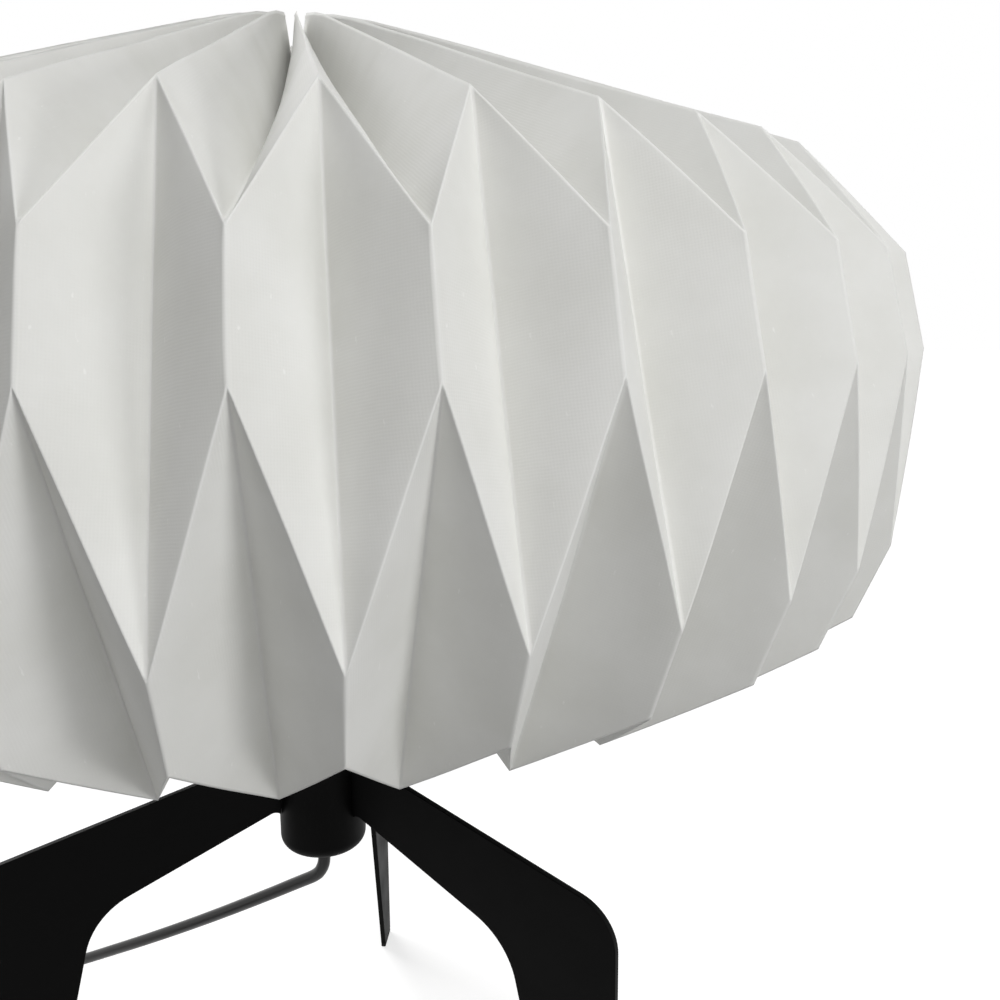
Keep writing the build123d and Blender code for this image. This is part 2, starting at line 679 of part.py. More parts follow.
switch_x = -279.0
switch_rear = 22.0
switch_front = switch_rear - SWITCH_LENGTH
cord_in_switch = FLOOR_GAP + SWITCH_BASE_HEIGHT
free_route = [
    (0, 0, cord_exit),
    (0, 0, 152.0),
    (-1.8, 0.7, 146.3),
    (-5.2, 2.1, 141.7),
    (-14.8, 6.0, 135.2),
    (-33.4, 13.5, 122.2),
    (-70.5, 28.5, 97.0),
    (-113.1, 45.7, 69.5),
    (-159.5, 64.4, 41.0),
    (-196.6, 79.4, 18.5),
    (-226.2, 91.4, 5.6),
    (-247.0, 98.0, lying),
    (-266.0, 93.0, lying),
    (-278.0, 78.0, lying),
    (-281.0, 60.0, 5.4),
    (switch_x, 42.0, cord_in_switch),
    (switch_x, switch_rear, cord_in_switch),
]

with BuildPart() as cord_free_run:
    with BuildLine() as free_line:
        FilletPolyline(*free_route, radius=corner_radii("cord_free_run", free_route))
    with BuildSketch(section_at(free_route[0], free_route[1], cord_radius)):
        Circle(cord_radius)
    sweep(path=free_line.wire())
free_length = free_line.wire().length
section_area = math.pi * cord_radius**2
print("cord_free_run volume", round(cord_free_run.part.volume), "against", round(section_area * free_length))
write(cord_free_run.part, "cord_free_run")

stem_top = holder_bottom + NECK_HEIGHT
with BuildPart() as cord_in_stem:
    with BuildSketch(Plane.XY.offset(cord_exit)):
        Circle(cord_radius)
    extrude(amount=stem_top + 0.5 - cord_exit)
write(cord_in_stem.part, "cord_in_stem")

lead_bottom = stem_top + 0.5
lead_top = insert_bottom - TERMINAL_SIZE
for lead_name, lead_side in (("live_lead", 1), ("neutral_lead", -1)):
    lead_route = [
        (lead_side * 1.5, 0, lead_bottom),
        (lead_side * 1.5, 0, lead_bottom + (lead_top - lead_bottom) * 0.35),
        (lead_side * TERMINAL_OFFSET, 0, lead_bottom + (lead_top - lead_bottom) * 0.65),
        (lead_side * TERMINAL_OFFSET, 0, lead_top),
    ]
    with BuildPart() as lead:
        with BuildLine() as lead_line:
            FilletPolyline(*lead_route, radius=1.0)
        with BuildSketch(section_at(lead_route[0], lead_route[1], LEAD_RADIUS)):
            Circle(LEAD_RADIUS)
        sweep(path=lead_line.wire())
    write(lead.part, lead_name)

# The coil: a spiral inwards on the table, a climb of one layer, and a spiral outwards on top.
coil_pitch = CORD_DIAMETER + COIL_TURN_GAP
coil_outer_radius = COIL_INNER_RADIUS + COIL_SPIRAL_HALF_TURNS * coil_pitch / 2
coil_low = FLOOR_GAP + COIL_TIE_THICKNESS + 0.2 + cord_radius
coil_high = coil_low + CORD_DIAMETER + COIL_LAYER_GAP
coil_x = switch_x + coil_outer_radius
coil_y = switch_front - COIL_SETBACK
coil_radii = [coil_outer_radius - step * coil_pitch / 2 for step in range(COIL_SPIRAL_HALF_TURNS + 1)]
coil_radii = coil_radii + coil_radii[::-1]
coil_nodes = []
for step, radius in enumerate(coil_radii):
    side = -1 if step % 2 == 0 else 1
    layer = coil_low if step <= COIL_SPIRAL_HALF_TURNS else coil_high
    coil_nodes.append((Vector(coil_x + side * radius, coil_y, layer), Vector(0, side, 0)))

coil_start = coil_nodes[0][0] + Vector(0, CORD_DIAMETER, 0)
coil_end = coil_nodes[-1][0] + Vector(0, CORD_DIAMETER, 0)


def joint_of(start, end):
    """Where the two arcs of a half turn meet, and the way the lead points there."""
    reach = (end[0] - start[0]).length / 2
    first_corner = start[0] + start[1] * reach
    second_corner = end[0] - end[1] * reach
    return (first_corner + second_corner) * 0.5, second_corner - first_corner


with BuildPart() as cord_coil:
    with BuildLine() as coil_line:
        Line(coil_start, coil_nodes[0][0])
        for start, end in zip(coil_nodes, coil_nodes[1:]):
            meeting, heading = joint_of(start, end)
            TangentArc(start[0], meeting, tangent=start[1])
            TangentArc(meeting, end[0], tangent=heading)
        Line(coil_nodes[-1][0], coil_end)
    with BuildSketch(Plane(origin=coil_start, z_dir=(0, -1, 0))):
        Circle(cord_radius)
    sweep(path=coil_line.wire())
coil_length = coil_line.wire().length
print("cord_coil volume", round(cord_coil.part.volume), "against", round(section_area * coil_length))
write(cord_coil.part, "cord_coil")

samples = [coil_line.wire() @ (step / 1600) for step in range(1601)]
least_gap = coil_outer_radius
for first in range(0, 1601, 2):
    for second in range(first + 60, 1601):
        apart = (samples[first] - samples[second]).length - CORD_DIAMETER
        least_gap = min(least_gap, apart)
print("cord_coil length", round(coil_length, 1), "least gap to itself", round(least_gap, 2))

coil_route = [
    (switch_x, switch_front, cord_in_switch),
    (switch_x, switch_front - COIL_FEED_STRAIGHT, cord_in_switch),
    (switch_x, switch_front - COIL_FEED_STRAIGHT - COIL_FEED_FALL, coil_low),
    (switch_x, coil_start.Y, coil_low),
]
with BuildPart() as cord_to_coil:
    with BuildLine() as coil_feed:
        FilletPolyline(*coil_route, radius=corner_radii("cord_to_coil", coil_route))
    with BuildSketch(section_at(coil_route[0], coil_route[1], cord_radius)):
        Circle(cord_radius)
    sweep(path=coil_feed.wire())
write(cord_to_coil.part, "cord_to_coil")

# Two ties hold the coil's turns, one near the table's front and one near its rear.
tie_inner = COIL_INNER_RADIUS - cord_radius - 2.2
tie_outer = coil_outer_radius + cord_radius + 0.6
tie_bottom = FLOOR_GAP
tie_top = coil_high + cord_radius + 0.2 + COIL_TIE_THICKNESS
with BuildPart() as coil_ties:
    for tie_angle in (75.0, 285.0):
        with BuildSketch(upright_plane(tie_angle, origin=(coil_x, coil_y, 0))):
            with Locations(((tie_inner + tie_outer) / 2, (tie_bottom + tie_top) / 2)):
                RectangleRounded(
                    tie_outer - tie_inner + 2 * COIL_TIE_THICKNESS, tie_top - tie_bottom, 2 * COIL_TIE_THICKNESS
                )
                RectangleRounded(
                    tie_outer - tie_inner,
                    tie_top - tie_bottom - 2 * COIL_TIE_THICKNESS,
                    COIL_TIE_THICKNESS,
                    mode=Mode.SUBTRACT,
                )
        extrude(amount=COIL_TIE_WIDTH / 2, both=True)
write(coil_ties.part, "coil_ties")

plug_x = coil_end.X
plug_rear = coil_end.Y + 2 * PLUG_FEED_STRAIGHT + PLUG_FEED_FALL
plug_height = FLOOR_GAP + PLUG_THICKNESS / 2
plug_route = [
    tuple(coil_end),
    (plug_x, coil_end.Y + PLUG_FEED_STRAIGHT, coil_end.Z),
    (plug_x, plug_rear - PLUG_FEED_STRAIGHT, plug_height),
    (plug_x, plug_rear, plug_height),
]
with BuildPart() as cord_to_plug:
    with BuildLine() as plug_feed:
        FilletPolyline(*plug_route, radius=corner_radii("cord_to_plug", plug_route))
    with BuildSketch(section_at(plug_route[0], plug_route[1], cord_radius)):
        Circle(cord_radius)
    sweep(path=plug_feed.wire())
write(cord_to_plug.part, "cord_to_plug")

whole_length = free_length + SWITCH_LENGTH + coil_feed.wire().length + coil_length + plug_feed.wire().length
print("lead, free run", round(free_length, 1), "whole", round(whole_length, 1))

# ---------------------------------------------------------------- plug
body_rear = plug_rear + PLUG_SLEEVE_LENGTH
body_front = body_rear + PLUG_LENGTH


def across_plug(place):
    """A plane across the plug at this distance along Y."""
    return Plane(origin=(plug_x, place, plug_height), x_dir=(1, 0, 0), z_dir=(0, 1, 0))


with BuildPart() as plug_body:
    with BuildSketch(across_plug(body_rear)):
        RectangleRounded(PLUG_WIDTH * 0.42, PLUG_THICKNESS * 0.82, PLUG_THICKNESS * 0.3)
    with BuildSketch(across_plug(body_rear + PLUG_LENGTH * 0.55)):
        RectangleRounded(PLUG_WIDTH * 0.86, PLUG_THICKNESS, PLUG_THICKNESS * 0.3)
    loft()
    with BuildSketch(across_plug(body_rear + PLUG_LENGTH * 0.55)):
        RectangleRounded(PLUG_WIDTH * 0.86, PLUG_THICKNESS, PLUG_THICKNESS * 0.3)
    with BuildSketch(across_plug(body_front)):
        RectangleRounded(PLUG_WIDTH, PLUG_THICKNESS, PLUG_THICKNESS * 0.3)
    loft()
    with BuildSketch(across_plug(plug_rear)):
        Circle(PLUG_SLEEVE_RADIUS - 1.0)
    with BuildSketch(across_plug(body_rear)):
        Circle(PLUG_SLEEVE_RADIUS)
    loft()
write(plug_body.part, "plug_body")

with BuildPart() as plug_pins:
    with BuildSketch(across_plug(body_front)):
        with Locations((-PIN_SPACING / 2, 0), (PIN_SPACING / 2, 0)):
            Circle(PIN_RADIUS)
    extrude(amount=PIN_LENGTH)
    fillet(plug_pins.edges().group_by(Axis.Y)[-1], radius=PIN_RADIUS * 0.6)
write(plug_pins.part, "plug_pins")

# ---------------------------------------------------------------- hand switch
switch_centre = (switch_rear + switch_front) / 2
switch_bottom = FLOOR_GAP
switch_joint = switch_bottom + SWITCH_BASE_HEIGHT
switch_top = switch_joint + SWITCH_COVER_HEIGHT
rocker_axis_height = switch_top - 3.6
ear_inner = ROCKER_WIDTH / 2 + 0.5
ear_thickness = 2.2


def switch_plane(height):
    """A level plane over the switch's middle."""
    return Plane(origin=(switch_x, switch_centre, height), x_dir=(1, 0, 0), z_dir=(0, 0, 1))


def across_switch(offset, tilt=0.0):
    """A plane across the rocker pin, this far to the side of the switch's middle, tilted about the pin."""
    turn = math.radians(tilt)
    pin_place = (switch_x + offset, switch_centre, rocker_axis_height)
    return Plane(origin=pin_place, x_dir=(0, math.cos(turn), math.sin(turn)), z_dir=(1, 0, 0))


screw_places = ((0, -SWITCH_SCREW_OFFSET), (0, SWITCH_SCREW_OFFSET))
with BuildPart() as switch_base:
    with BuildSketch(switch_plane(switch_bottom)):
        RectangleRounded(SWITCH_WIDTH, SWITCH_LENGTH, SWITCH_CORNER)
    extrude(amount=SWITCH_BASE_HEIGHT)
    with BuildSketch(switch_plane(switch_bottom + SWITCH_WALL)):
        RectangleRounded(SWITCH_WIDTH - 2 * SWITCH_WALL, SWITCH_LENGTH - 2 * SWITCH_WALL, SWITCH_CORNER - SWITCH_WALL)
    extrude(amount=SWITCH_BASE_HEIGHT, mode=Mode.SUBTRACT)
    # Posts for the screws, and the block between them that carries the contacts
    with BuildSketch(switch_plane(switch_bottom + SWITCH_WALL)):
        with Locations(*screw_places):
            Circle(2.2 * SWITCH_SCREW_RADIUS)
    extrude(amount=SWITCH_BASE_HEIGHT - SWITCH_WALL)
    with BuildSketch(switch_plane(switch_bottom)):
        with Locations(*screw_places):
            Circle(SWITCH_SCREW_RADIUS + SLOT_GAP)
    extrude(amount=SWITCH_BASE_HEIGHT, mode=Mode.SUBTRACT)
    with BuildSketch(switch_plane(switch_bottom)):
        with Locations(*screw_places):
            Circle(2 * SWITCH_SCREW_RADIUS + SLOT_GAP)
    extrude(amount=SWITCH_SCREW_RADIUS + SLOT_GAP, mode=Mode.SUBTRACT)
    fillet(switch_base.edges().filter_by(GeomType.LINE).group_by(Axis.Z)[0].sort_by(SortBy.LENGTH)[-1], radius=1.0)
write(switch_base.part, "switch_base")

with BuildPart() as switch_cover:
    with BuildSketch(switch_plane(switch_joint)):
        RectangleRounded(SWITCH_WIDTH, SWITCH_LENGTH, SWITCH_CORNER)
    extrude(amount=SWITCH_COVER_HEIGHT)
    fillet(switch_cover.faces().sort_by(Axis.Z)[-1].edges(), radius=2.5)
    with BuildSketch(switch_plane(switch_joint)):
        RectangleRounded(SWITCH_WIDTH - 2 * SWITCH_WALL, SWITCH_LENGTH - 2 * SWITCH_WALL, SWITCH_CORNER - SWITCH_WALL)
    extrude(amount=SWITCH_COVER_HEIGHT - SWITCH_WALL - 0.6, mode=Mode.SUBTRACT)
    with BuildSketch(switch_plane(switch_joint)):
        with Locations(*screw_places):
            Circle(2.2 * SWITCH_SCREW_RADIUS)
    extrude(amount=SWITCH_COVER_HEIGHT - SWITCH_WALL)
    with BuildSketch(switch_plane(switch_joint)):
        with Locations(*screw_places):
            Circle(SWITCH_SCREW_RADIUS + THREAD_GAP)
    extrude(amount=SWITCH_COVER_HEIGHT / 2, mode=Mode.SUBTRACT)
    # Ears for the rocker's pin, beside its opening
    for ear_side in (1, -1):
        with BuildSketch(across_switch(ear_side * (ear_inner + ear_thickness / 2))):
            Circle(2.6 * ROCKER_PIN_RADIUS)
            with Locations((0, 1.6)):
                Rectangle(5.2 * ROCKER_PIN_RADIUS, 1.8)
        extrude(amount=ear_thickness / 2, both=True)
    with BuildSketch(across_switch(0)):
        Circle(ROCKER_PIN_RADIUS + THREAD_GAP)
    extrude(amount=ear_inner + ear_thickness, both=True, mode=Mode.SUBTRACT)
    with BuildSketch(switch_plane(switch_joint)):
        Rectangle(ROCKER_WIDTH + 2 * SEAT_GAP, ROCKER_LENGTH + 2.4)
    extrude(amount=SWITCH_COVER_HEIGHT + 1, mode=Mode.SUBTRACT)
write(switch_cover.part, "switch_cover")

with BuildPart() as switch_rocker:
    half_length = ROCKER_LENGTH / 2
    with BuildSketch(across_switch(0, -ROCKER_TILT)):
        with BuildLine():
            Polyline(
                (-half_length, ROCKER_RISE + 2.6),
                (0, ROCKER_RISE + 1.2),
                (half_length, ROCKER_RISE + 2.6),
                (half_length - 1.2, -1.0),
                (3.0, -3.0),
                (-3.0, -3.0),
                (-half_length + 1.2, -1.0),
                close=True,
            )
        make_face()
        Circle(ROCKER_PIN_RADIUS + THREAD_GAP, mode=Mode.SUBTRACT)
    extrude(amount=ROCKER_WIDTH / 2, both=True)
write(switch_rocker.part, "switch_rocker")

with BuildPart() as rocker_pin:
    with BuildSketch(across_switch(0)):
        Circle(ROCKER_PIN_RADIUS)
    extrude(amount=ear_inner + ear_thickness, both=True)
write(rocker_pin.part, "rocker_pin")

with BuildPart() as switch_contacts:
    with BuildSketch(switch_plane(switch_bottom + SWITCH_WALL)):
        with Locations((0, -8), (0, 8)):
            Rectangle(7, 5)
    extrude(amount=2.0)
write(switch_contacts.part, "switch_contacts")

with BuildPart() as switch_screws:
    with BuildSketch(switch_plane(switch_bottom)):
        with Locations(*screw_places):
            Circle(2 * SWITCH_SCREW_RADIUS)
    extrude(amount=SWITCH_SCREW_RADIUS)
    with BuildSketch(switch_plane(switch_bottom)):
        with Locations(*screw_places):
            Circle(SWITCH_SCREW_RADIUS)
    extrude(amount=SWITCH_BASE_HEIGHT + SWITCH_COVER_HEIGHT / 2 - SEAT_GAP)
write(switch_screws.part, "switch_screws")
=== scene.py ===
"""Looks of a pleated paper table lamp on three flat black legs, in the frame of its solids."""

import json
import logging
import math
from dataclasses import dataclass, field
from enum import Enum
from typing import Sequence

import bmesh
import bpy
from mathutils import Matrix, Vector


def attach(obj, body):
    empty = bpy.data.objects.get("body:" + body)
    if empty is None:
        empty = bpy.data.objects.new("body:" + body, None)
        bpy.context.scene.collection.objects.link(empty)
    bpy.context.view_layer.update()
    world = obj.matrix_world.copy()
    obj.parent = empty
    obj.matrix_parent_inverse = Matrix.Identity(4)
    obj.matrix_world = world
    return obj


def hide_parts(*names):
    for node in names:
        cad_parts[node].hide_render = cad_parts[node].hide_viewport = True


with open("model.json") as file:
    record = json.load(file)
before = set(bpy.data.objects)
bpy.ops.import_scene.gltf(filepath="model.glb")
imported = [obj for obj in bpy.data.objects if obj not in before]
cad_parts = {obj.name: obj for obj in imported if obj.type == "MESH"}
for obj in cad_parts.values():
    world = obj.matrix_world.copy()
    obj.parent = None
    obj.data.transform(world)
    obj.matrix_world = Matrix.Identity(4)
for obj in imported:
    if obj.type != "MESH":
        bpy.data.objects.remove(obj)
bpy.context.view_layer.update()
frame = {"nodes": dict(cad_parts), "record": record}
MM = 0.001
# Points of a solid's surface this close together, in metres, are the same point
MERGE = 2e-6
log = logging.getLogger("lamp")

Point = tuple[float, float, float]


class Band(Enum):
    """The four rows of facets of the folded sheet, from its top edge down."""

    CROWN = 0
    WAIST = 1
    KITE = 2
    UNDERSIDE = 3


class Slot(Enum):
    """The material slots of the part, by what they are."""

    PAPER = "white_paper"
    STEEL = "black_steel"
    RUBBER = "black_rubber"
    PLASTIC = "black_plastic"
    FLEX = "black_flex"
    WHITE_PLASTIC = "white_plastic"
    GLASS = "opal_glass"
    ZINC = "zinc_steel"
    BRASS = "nickel_brass"
    ALUMINIUM = "aluminium_cap"
    CERAMIC = "black_ceramic"
    BLUE = "lead_blue"
    BROWN = "lead_brown"


Finishes = dict[Slot, bpy.types.Material]


def linear(code: str) -> tuple[float, float, float, float]:
    """Turns an sRGB colour into linear light.

    Args:
        code: The colour as six hexadecimal digits.

    Returns:
        The red, green and blue values, and full opacity.
    """
    values = []
    for start in (0, 2, 4):
        value = int(code[start : start + 2], 16) / 255
        values.append(value / 12.92 if value <= 0.04045 else ((value + 0.055) / 1.055) ** 2.4)
    return (*values, 1.0)


def add_node(tree: bpy.types.NodeTree, kind: str, inputs: dict | None = None, **settings) -> bpy.types.Node:
    """Adds one node with its settings, values and links.

    Args:
        tree: The node tree that takes it.
        kind: The node's type name.
        inputs: A value or an output socket for each input, by name or number.
        settings: The node's own properties.

    Returns:
        The new node.
    """
    node = tree.nodes.new(kind)
    for name, value in settings.items():
        setattr(node, name, value)
    for key, value in (inputs or {}).items():
        if isinstance(value, bpy.types.NodeSocket):
            tree.links.new(value, node.inputs[key])
        else:
            node.inputs[key].default_value = value
    return node


def per_metre(size_mm: float) -> float:
    """Gives the scale of a noise whose grains measure this many millimetres."""
    return 1000.0 / size_mm


def wave_scale(spacing_mm: float) -> float:
    """Gives the scale of a band wave whose lines stand this many millimetres apart."""
    return math.tau / (20.0 * spacing_mm * MM)


# ---------------------------------------------------------------- finishes


def new_surface(name: str) -> tuple[bpy.types.Material, bpy.types.NodeTree, bpy.types.Node]:
    """Makes a material that holds only its surface shader and its output.

    Args:
        name: The material's name.

    Returns:
        The material, its node tree and its Principled shader.
    """
    material = bpy.data.materials.new(name)
    material.use_nodes = True
    tree = material.node_tree
    tree.nodes.clear()
    shader = add_node(tree, "ShaderNodeBsdfPrincipled")
    add_node(tree, "ShaderNodeOutputMaterial", {"Surface": shader.outputs["BSDF"]})
    return material, tree, shader


@dataclass(frozen=True)
class FoldedPaper:
    """Laminated lampshade paper: pulp with a linen embossing, a matt film, and folds painted whiter, partly for
    the film's whitening and partly as a painted highlight along each crease.
    """

    name: str = "linen_embossed_paper"
    colour: str = "E9E9E6"
    shade: str = "E3E3DF"
    fleck: str = "F8F8F6"
    # The folds' colour: the film's whitening, and a painted highlight along each crease
    fold: str = "F6F6F4"
    # The embossed threads are 0.35 mm apart; 0.8 mm is the finest that shows at this distance.
    thread_mm: float = 0.8
    thread_relief_mm: float = 0.08
    pulp_mm: float = 26.0
    pulp_relief_mm: float = 1.0
    fleck_mm: float = 5.5
    fleck_strength: float = 0.45
    fold_white_and_highlight: float = 0.6
    roughness: float = 0.78

    def build(self) -> bpy.types.Material:
        """Builds the paper, whose threads follow the sheet's own map in metres."""
        material, tree, shader = new_surface(self.name)
        sheet = add_node(tree, "ShaderNodeUVMap", uv_map="sheet").outputs["UV"]
        place = add_node(tree, "ShaderNodeTexCoord").outputs["Object"]
        fold = add_node(tree, "ShaderNodeAttribute", attribute_name="fold").outputs["Fac"]
        pulp = add_node(
            tree, "ShaderNodeTexNoise", {"Vector": place, "Scale": per_metre(self.pulp_mm), "Detail": 6.0}
        )
        tone = add_node(
            tree, "ShaderNodeMapRange", {"Value": pulp.outputs["Fac"], "From Min": 0.35, "From Max": 0.68}
        )
        body = add_node(
            tree,
            "ShaderNodeMix",
            {"Factor": tone.outputs["Result"], "A": linear(self.colour), "B": linear(self.shade)},
            data_type="RGBA",
        )
        # Stray fibres: the sparse bright cells of a stretched noise
        fibre_place = add_node(tree, "ShaderNodeMapping", {"Vector": sheet, "Scale": (1.0, 0.35, 1.0)})
        fibre = add_node(
            tree,
            "ShaderNodeTexNoise",
            {"Vector": fibre_place.outputs["Vector"], "Scale": per_metre(self.fleck_mm / 4), "Detail": 2.0},
        )
        sparse = add_node(
            tree,
            "ShaderNodeMapRange",
            {"Value": fibre.outputs["Fac"], "From Min": 0.71, "From Max": 0.77, "To Max": self.fleck_strength},
        )
        flecked = add_node(
            tree,
            "ShaderNodeMix",
            {"Factor": sparse.outputs["Result"], "A": body.outputs["Result"], "B": linear(self.fleck)},
            data_type="RGBA",
        )
        # Folds are painted whiter: partly the film's own whitening, partly a painted highlight along each
        # crease
        whitened_and_highlit = add_node(tree, "ShaderNodeMath", {0: fold, 1: self.fold_white_and_highlight}, operation="MULTIPLY")
        colour = add_node(
            tree,
            "ShaderNodeMix",
            {"Factor": whitened_and_highlit.outputs["Value"], "A": flecked.outputs["Result"], "B": linear(self.fold)},
            data_type="RGBA",
        )
        weave = {"Vector": sheet, "Scale": wave_scale(self.thread_mm), "Distortion": 1.6, "Detail": 2.0}
        weave["Detail Scale"] = 0.6
        warp, weft = [add_node(tree, "ShaderNodeTexWave", weave, bands_direction=way) for way in "XY"]
        linen = add_node(
            tree, "ShaderNodeMath", {0: warp.outputs["Fac"], 1: weft.outputs["Fac"]}, operation="ADD"
        )
        threads = add_node(
            tree,
            "ShaderNodeBump",
            {"Height": linen.outputs["Value"], "Strength": 0.14, "Distance": self.thread_relief_mm * MM},
        )
        ripple = add_node(
            tree,
            "ShaderNodeBump",
            {
                "Height": pulp.outputs["Fac"],
                "Strength": 0.2,
                "Distance": self.pulp_relief_mm * MM,
                "Normal": threads.outputs["Normal"],
            },
        )
        tree.links.new(colour.outputs["Result"], shader.inputs["Base Color"])
        tree.links.new(ripple.outputs["Normal"], shader.inputs["Normal"])
        shader.inputs["Roughness"].default_value = self.roughness
        shader.inputs["IOR"].default_value = 1.45
        shader.inputs["Specular IOR Level"].default_value = 0.35
        return material


@dataclass(frozen=True)
class Coating:
    """An opaque skin with a fine relief, such as powder coat, moulded plastic or rubber."""

    name: str
    colour: str
    second: str
    roughness: float
    grain_mm: float
    relief_mm: float = 0.02
    specular: float = 0.5
    ior: float = 1.5
    blotch_mm: float = 18.0
    rub: float = 0.06

    def build(self) -> bpy.types.Material:
        """Builds the skin: two close tones in soft blotches, and a grain that breaks up its sheen."""
        material, tree, shader = new_surface(self.name)
        place = add_node(tree, "ShaderNodeTexCoord").outputs["Object"]
        blotch = add_node(
            tree, "ShaderNodeTexNoise", {"Vector": place, "Scale": per_metre(self.blotch_mm), "Detail": 4.0}
        )
        colour = add_node(
            tree,
            "ShaderNodeMix",
            {"Factor": blotch.outputs["Fac"], "A": linear(self.colour), "B": linear(self.second)},
            data_type="RGBA",
        )
        grain = add_node(
            tree, "ShaderNodeTexNoise", {"Vector": place, "Scale": per_metre(self.grain_mm), "Detail": 3.0}
        )
        sheen = add_node(
            tree,
            "ShaderNodeMapRange",
            {
                "Value": blotch.outputs["Fac"],
                "From Min": 0.3,
                "From Max": 0.7,
                "To Min": self.roughness - self.rub,
                "To Max": self.roughness + self.rub,
            },
        )
        relief = add_node(
            tree,
            "ShaderNodeBump",
            {"Height": grain.outputs["Fac"], "Strength": 0.5, "Distance": self.relief_mm * MM},
        )
        tree.links.new(colour.outputs["Result"], shader.inputs["Base Color"])
        tree.links.new(sheen.outputs["Result"], shader.inputs["Roughness"])
        tree.links.new(relief.outputs["Normal"], shader.inputs["Normal"])
        shader.inputs["IOR"].default_value = self.ior
        shader.inputs["Specular IOR Level"].default_value = self.specular
        return material


@dataclass(frozen=True)
class Metal:
    """A bare or plated metal with drawn or turned lines."""

    name: str
    colour: str
    second: str
    roughness: float
    drift_mm: float = 9.0
    line_mm: float = 0.4
    relief_mm: float = 0.04
    polish: float = 0.08
    stretch: Point = (1.0, 1.0, 12.0)

    def build(self) -> bpy.types.Material:
        """Builds the metal: a tone that drifts a little, and fine lines along its making."""
        material, tree, shader = new_surface(self.name)
        place = add_node(tree, "ShaderNodeTexCoord").outputs["Object"]
        drift = add_node(
            tree, "ShaderNodeTexNoise", {"Vector": place, "Scale": per_metre(self.drift_mm), "Detail": 3.0}
        )
        colour = add_node(
            tree,
            "ShaderNodeMix",
            {"Factor": drift.outputs["Fac"], "A": linear(self.colour), "B": linear(self.second)},
            data_type="RGBA",
        )
        along = add_node(tree, "ShaderNodeMapping", {"Vector": place, "Scale": self.stretch})
        lines = add_node(
            tree,
            "ShaderNodeTexNoise",
            {"Vector": along.outputs["Vector"], "Scale": per_metre(self.line_mm * 4), "Detail": 3.0},
        )
        polish = add_node(
            tree,
            "ShaderNodeMapRange",
            {
                "Value": lines.outputs["Fac"],
                "To Min": self.roughness - self.polish,
                "To Max": self.roughness + self.polish,
            },
        )
        relief = add_node(
            tree,
            "ShaderNodeBump",
            {"Height": lines.outputs["Fac"], "Strength": 0.15, "Distance": self.relief_mm * MM},
        )
        tree.links.new(colour.outputs["Result"], shader.inputs["Base Color"])
        tree.links.new(polish.outputs["Result"], shader.inputs["Roughness"])
        tree.links.new(relief.outputs["Normal"], shader.inputs["Normal"])
        shader.inputs["Metallic"].default_value = 1.0
        return material


def build_finishes() -> Finishes:
    """Builds each finish once.

    Returns:
        The material of each slot.
    """
    finishes = {
        Slot.PAPER: FoldedPaper(),
        # Polyester powder coat, matt: stoved powder leaves a faint orange peel and almost no gloss
        Slot.STEEL: Coating("matt_powder_coat", "020202", "050505", 0.5, 0.9, 0.015, specular=0.05),
        # Moulded rubber: dull, and greyed where it is handled
        Slot.RUBBER: Coating("moulded_rubber", "101010", "1A1A1A", 0.8, 0.7, 0.02, specular=0.3),
        # Thermoset and ABS mouldings: an even satin with a spark-eroded grain
        Slot.PLASTIC: Coating("black_moulded_plastic", "0E0E0F", "151516", 0.42, 0.6, 0.012, specular=0.4),
        # PVC sheath of the lead: smooth, softly shining, drawn lengthways
        Slot.FLEX: Coating("pvc_sheath", "050505", "0A0A0A", 0.34, 1.6, 0.012, specular=0.3, ior=1.53),
        # Thermoset insert: off-white and slightly mottled
        Slot.WHITE_PLASTIC: Coating("white_thermoset", "E4E1D8", "D6D2C7", 0.45, 0.8, 0.01),
        # Opal glass: dense white flashed glass under a clear, glossy skin
        Slot.GLASS: Coating("opal_glass", "F1F1EC", "EBEBE5", 0.12, 4.0, 0.004, rub=0.02),
        # Bright zinc on steel: bluish grey, slightly cloudy
        Slot.ZINC: Metal("bright_zinc_plate", "B9BCBE", "A6AAAD", 0.32),
        # Nickel-plated and bare brass of the contacts
        Slot.BRASS: Metal("contact_brass", "C9A865", "B39154", 0.3),
        # Rolled aluminium of a bulb cap
        Slot.ALUMINIUM: Metal("rolled_aluminium", "C8CACB", "B6B9BB", 0.28),
        # Vitrite, the black glass between a bulb's cap and its tip
        Slot.CERAMIC: Coating("black_vitrite", "0C0B0D", "17151A", 0.12, 2.0, 0.01),
        # Insulation of the two cores
        Slot.BLUE: Coating("blue_insulation", "1F4A9A", "234F9F", 0.4, 1.2, 0.01),
        Slot.BROWN: Coating("brown_insulation", "5A3217", "63391C", 0.4, 1.2, 0.01),
    }
    return {slot: finish.build() for slot, finish in finishes.items()}


# ---------------------------------------------------------------- making pieces


def mesh_object(name: str, mesh: bpy.types.Mesh) -> bpy.types.Object:
    """Puts a mesh into the scene as an object at the origin."""
    piece = bpy.data.objects.new(name, mesh)
    bpy.context.scene.collection.objects.link(piece)
    return piece


def to_mesh(name: str, work: bmesh.types.BMesh, smooth_angle: float | None = None) -> bpy.types.Object:
    """Turns worked geometry into a smooth-shaded object.

    Args:
        name: The piece's name.
        work: The geometry, which is freed.
        smooth_angle: The angle in degrees past which an edge stays sharp, or none.

    Returns:
        The object.
    """
    mesh = bpy.data.meshes.new(name)
    work.to_mesh(mesh)
    work.free()
    mesh.shade_smooth()
    if smooth_angle is not None:
        mesh.set_sharp_from_angle(angle=math.radians(smooth_angle))
    return mesh_object(name, mesh)


def skin_of(node: str) -> bmesh.types.BMesh:
    """Copies a solid's surface with its loose triangles merged."""
    work = bmesh.new()
    work.from_mesh(frame["nodes"][node].data)
    bmesh.ops.remove_doubles(work, verts=work.verts, dist=MERGE)
    return work


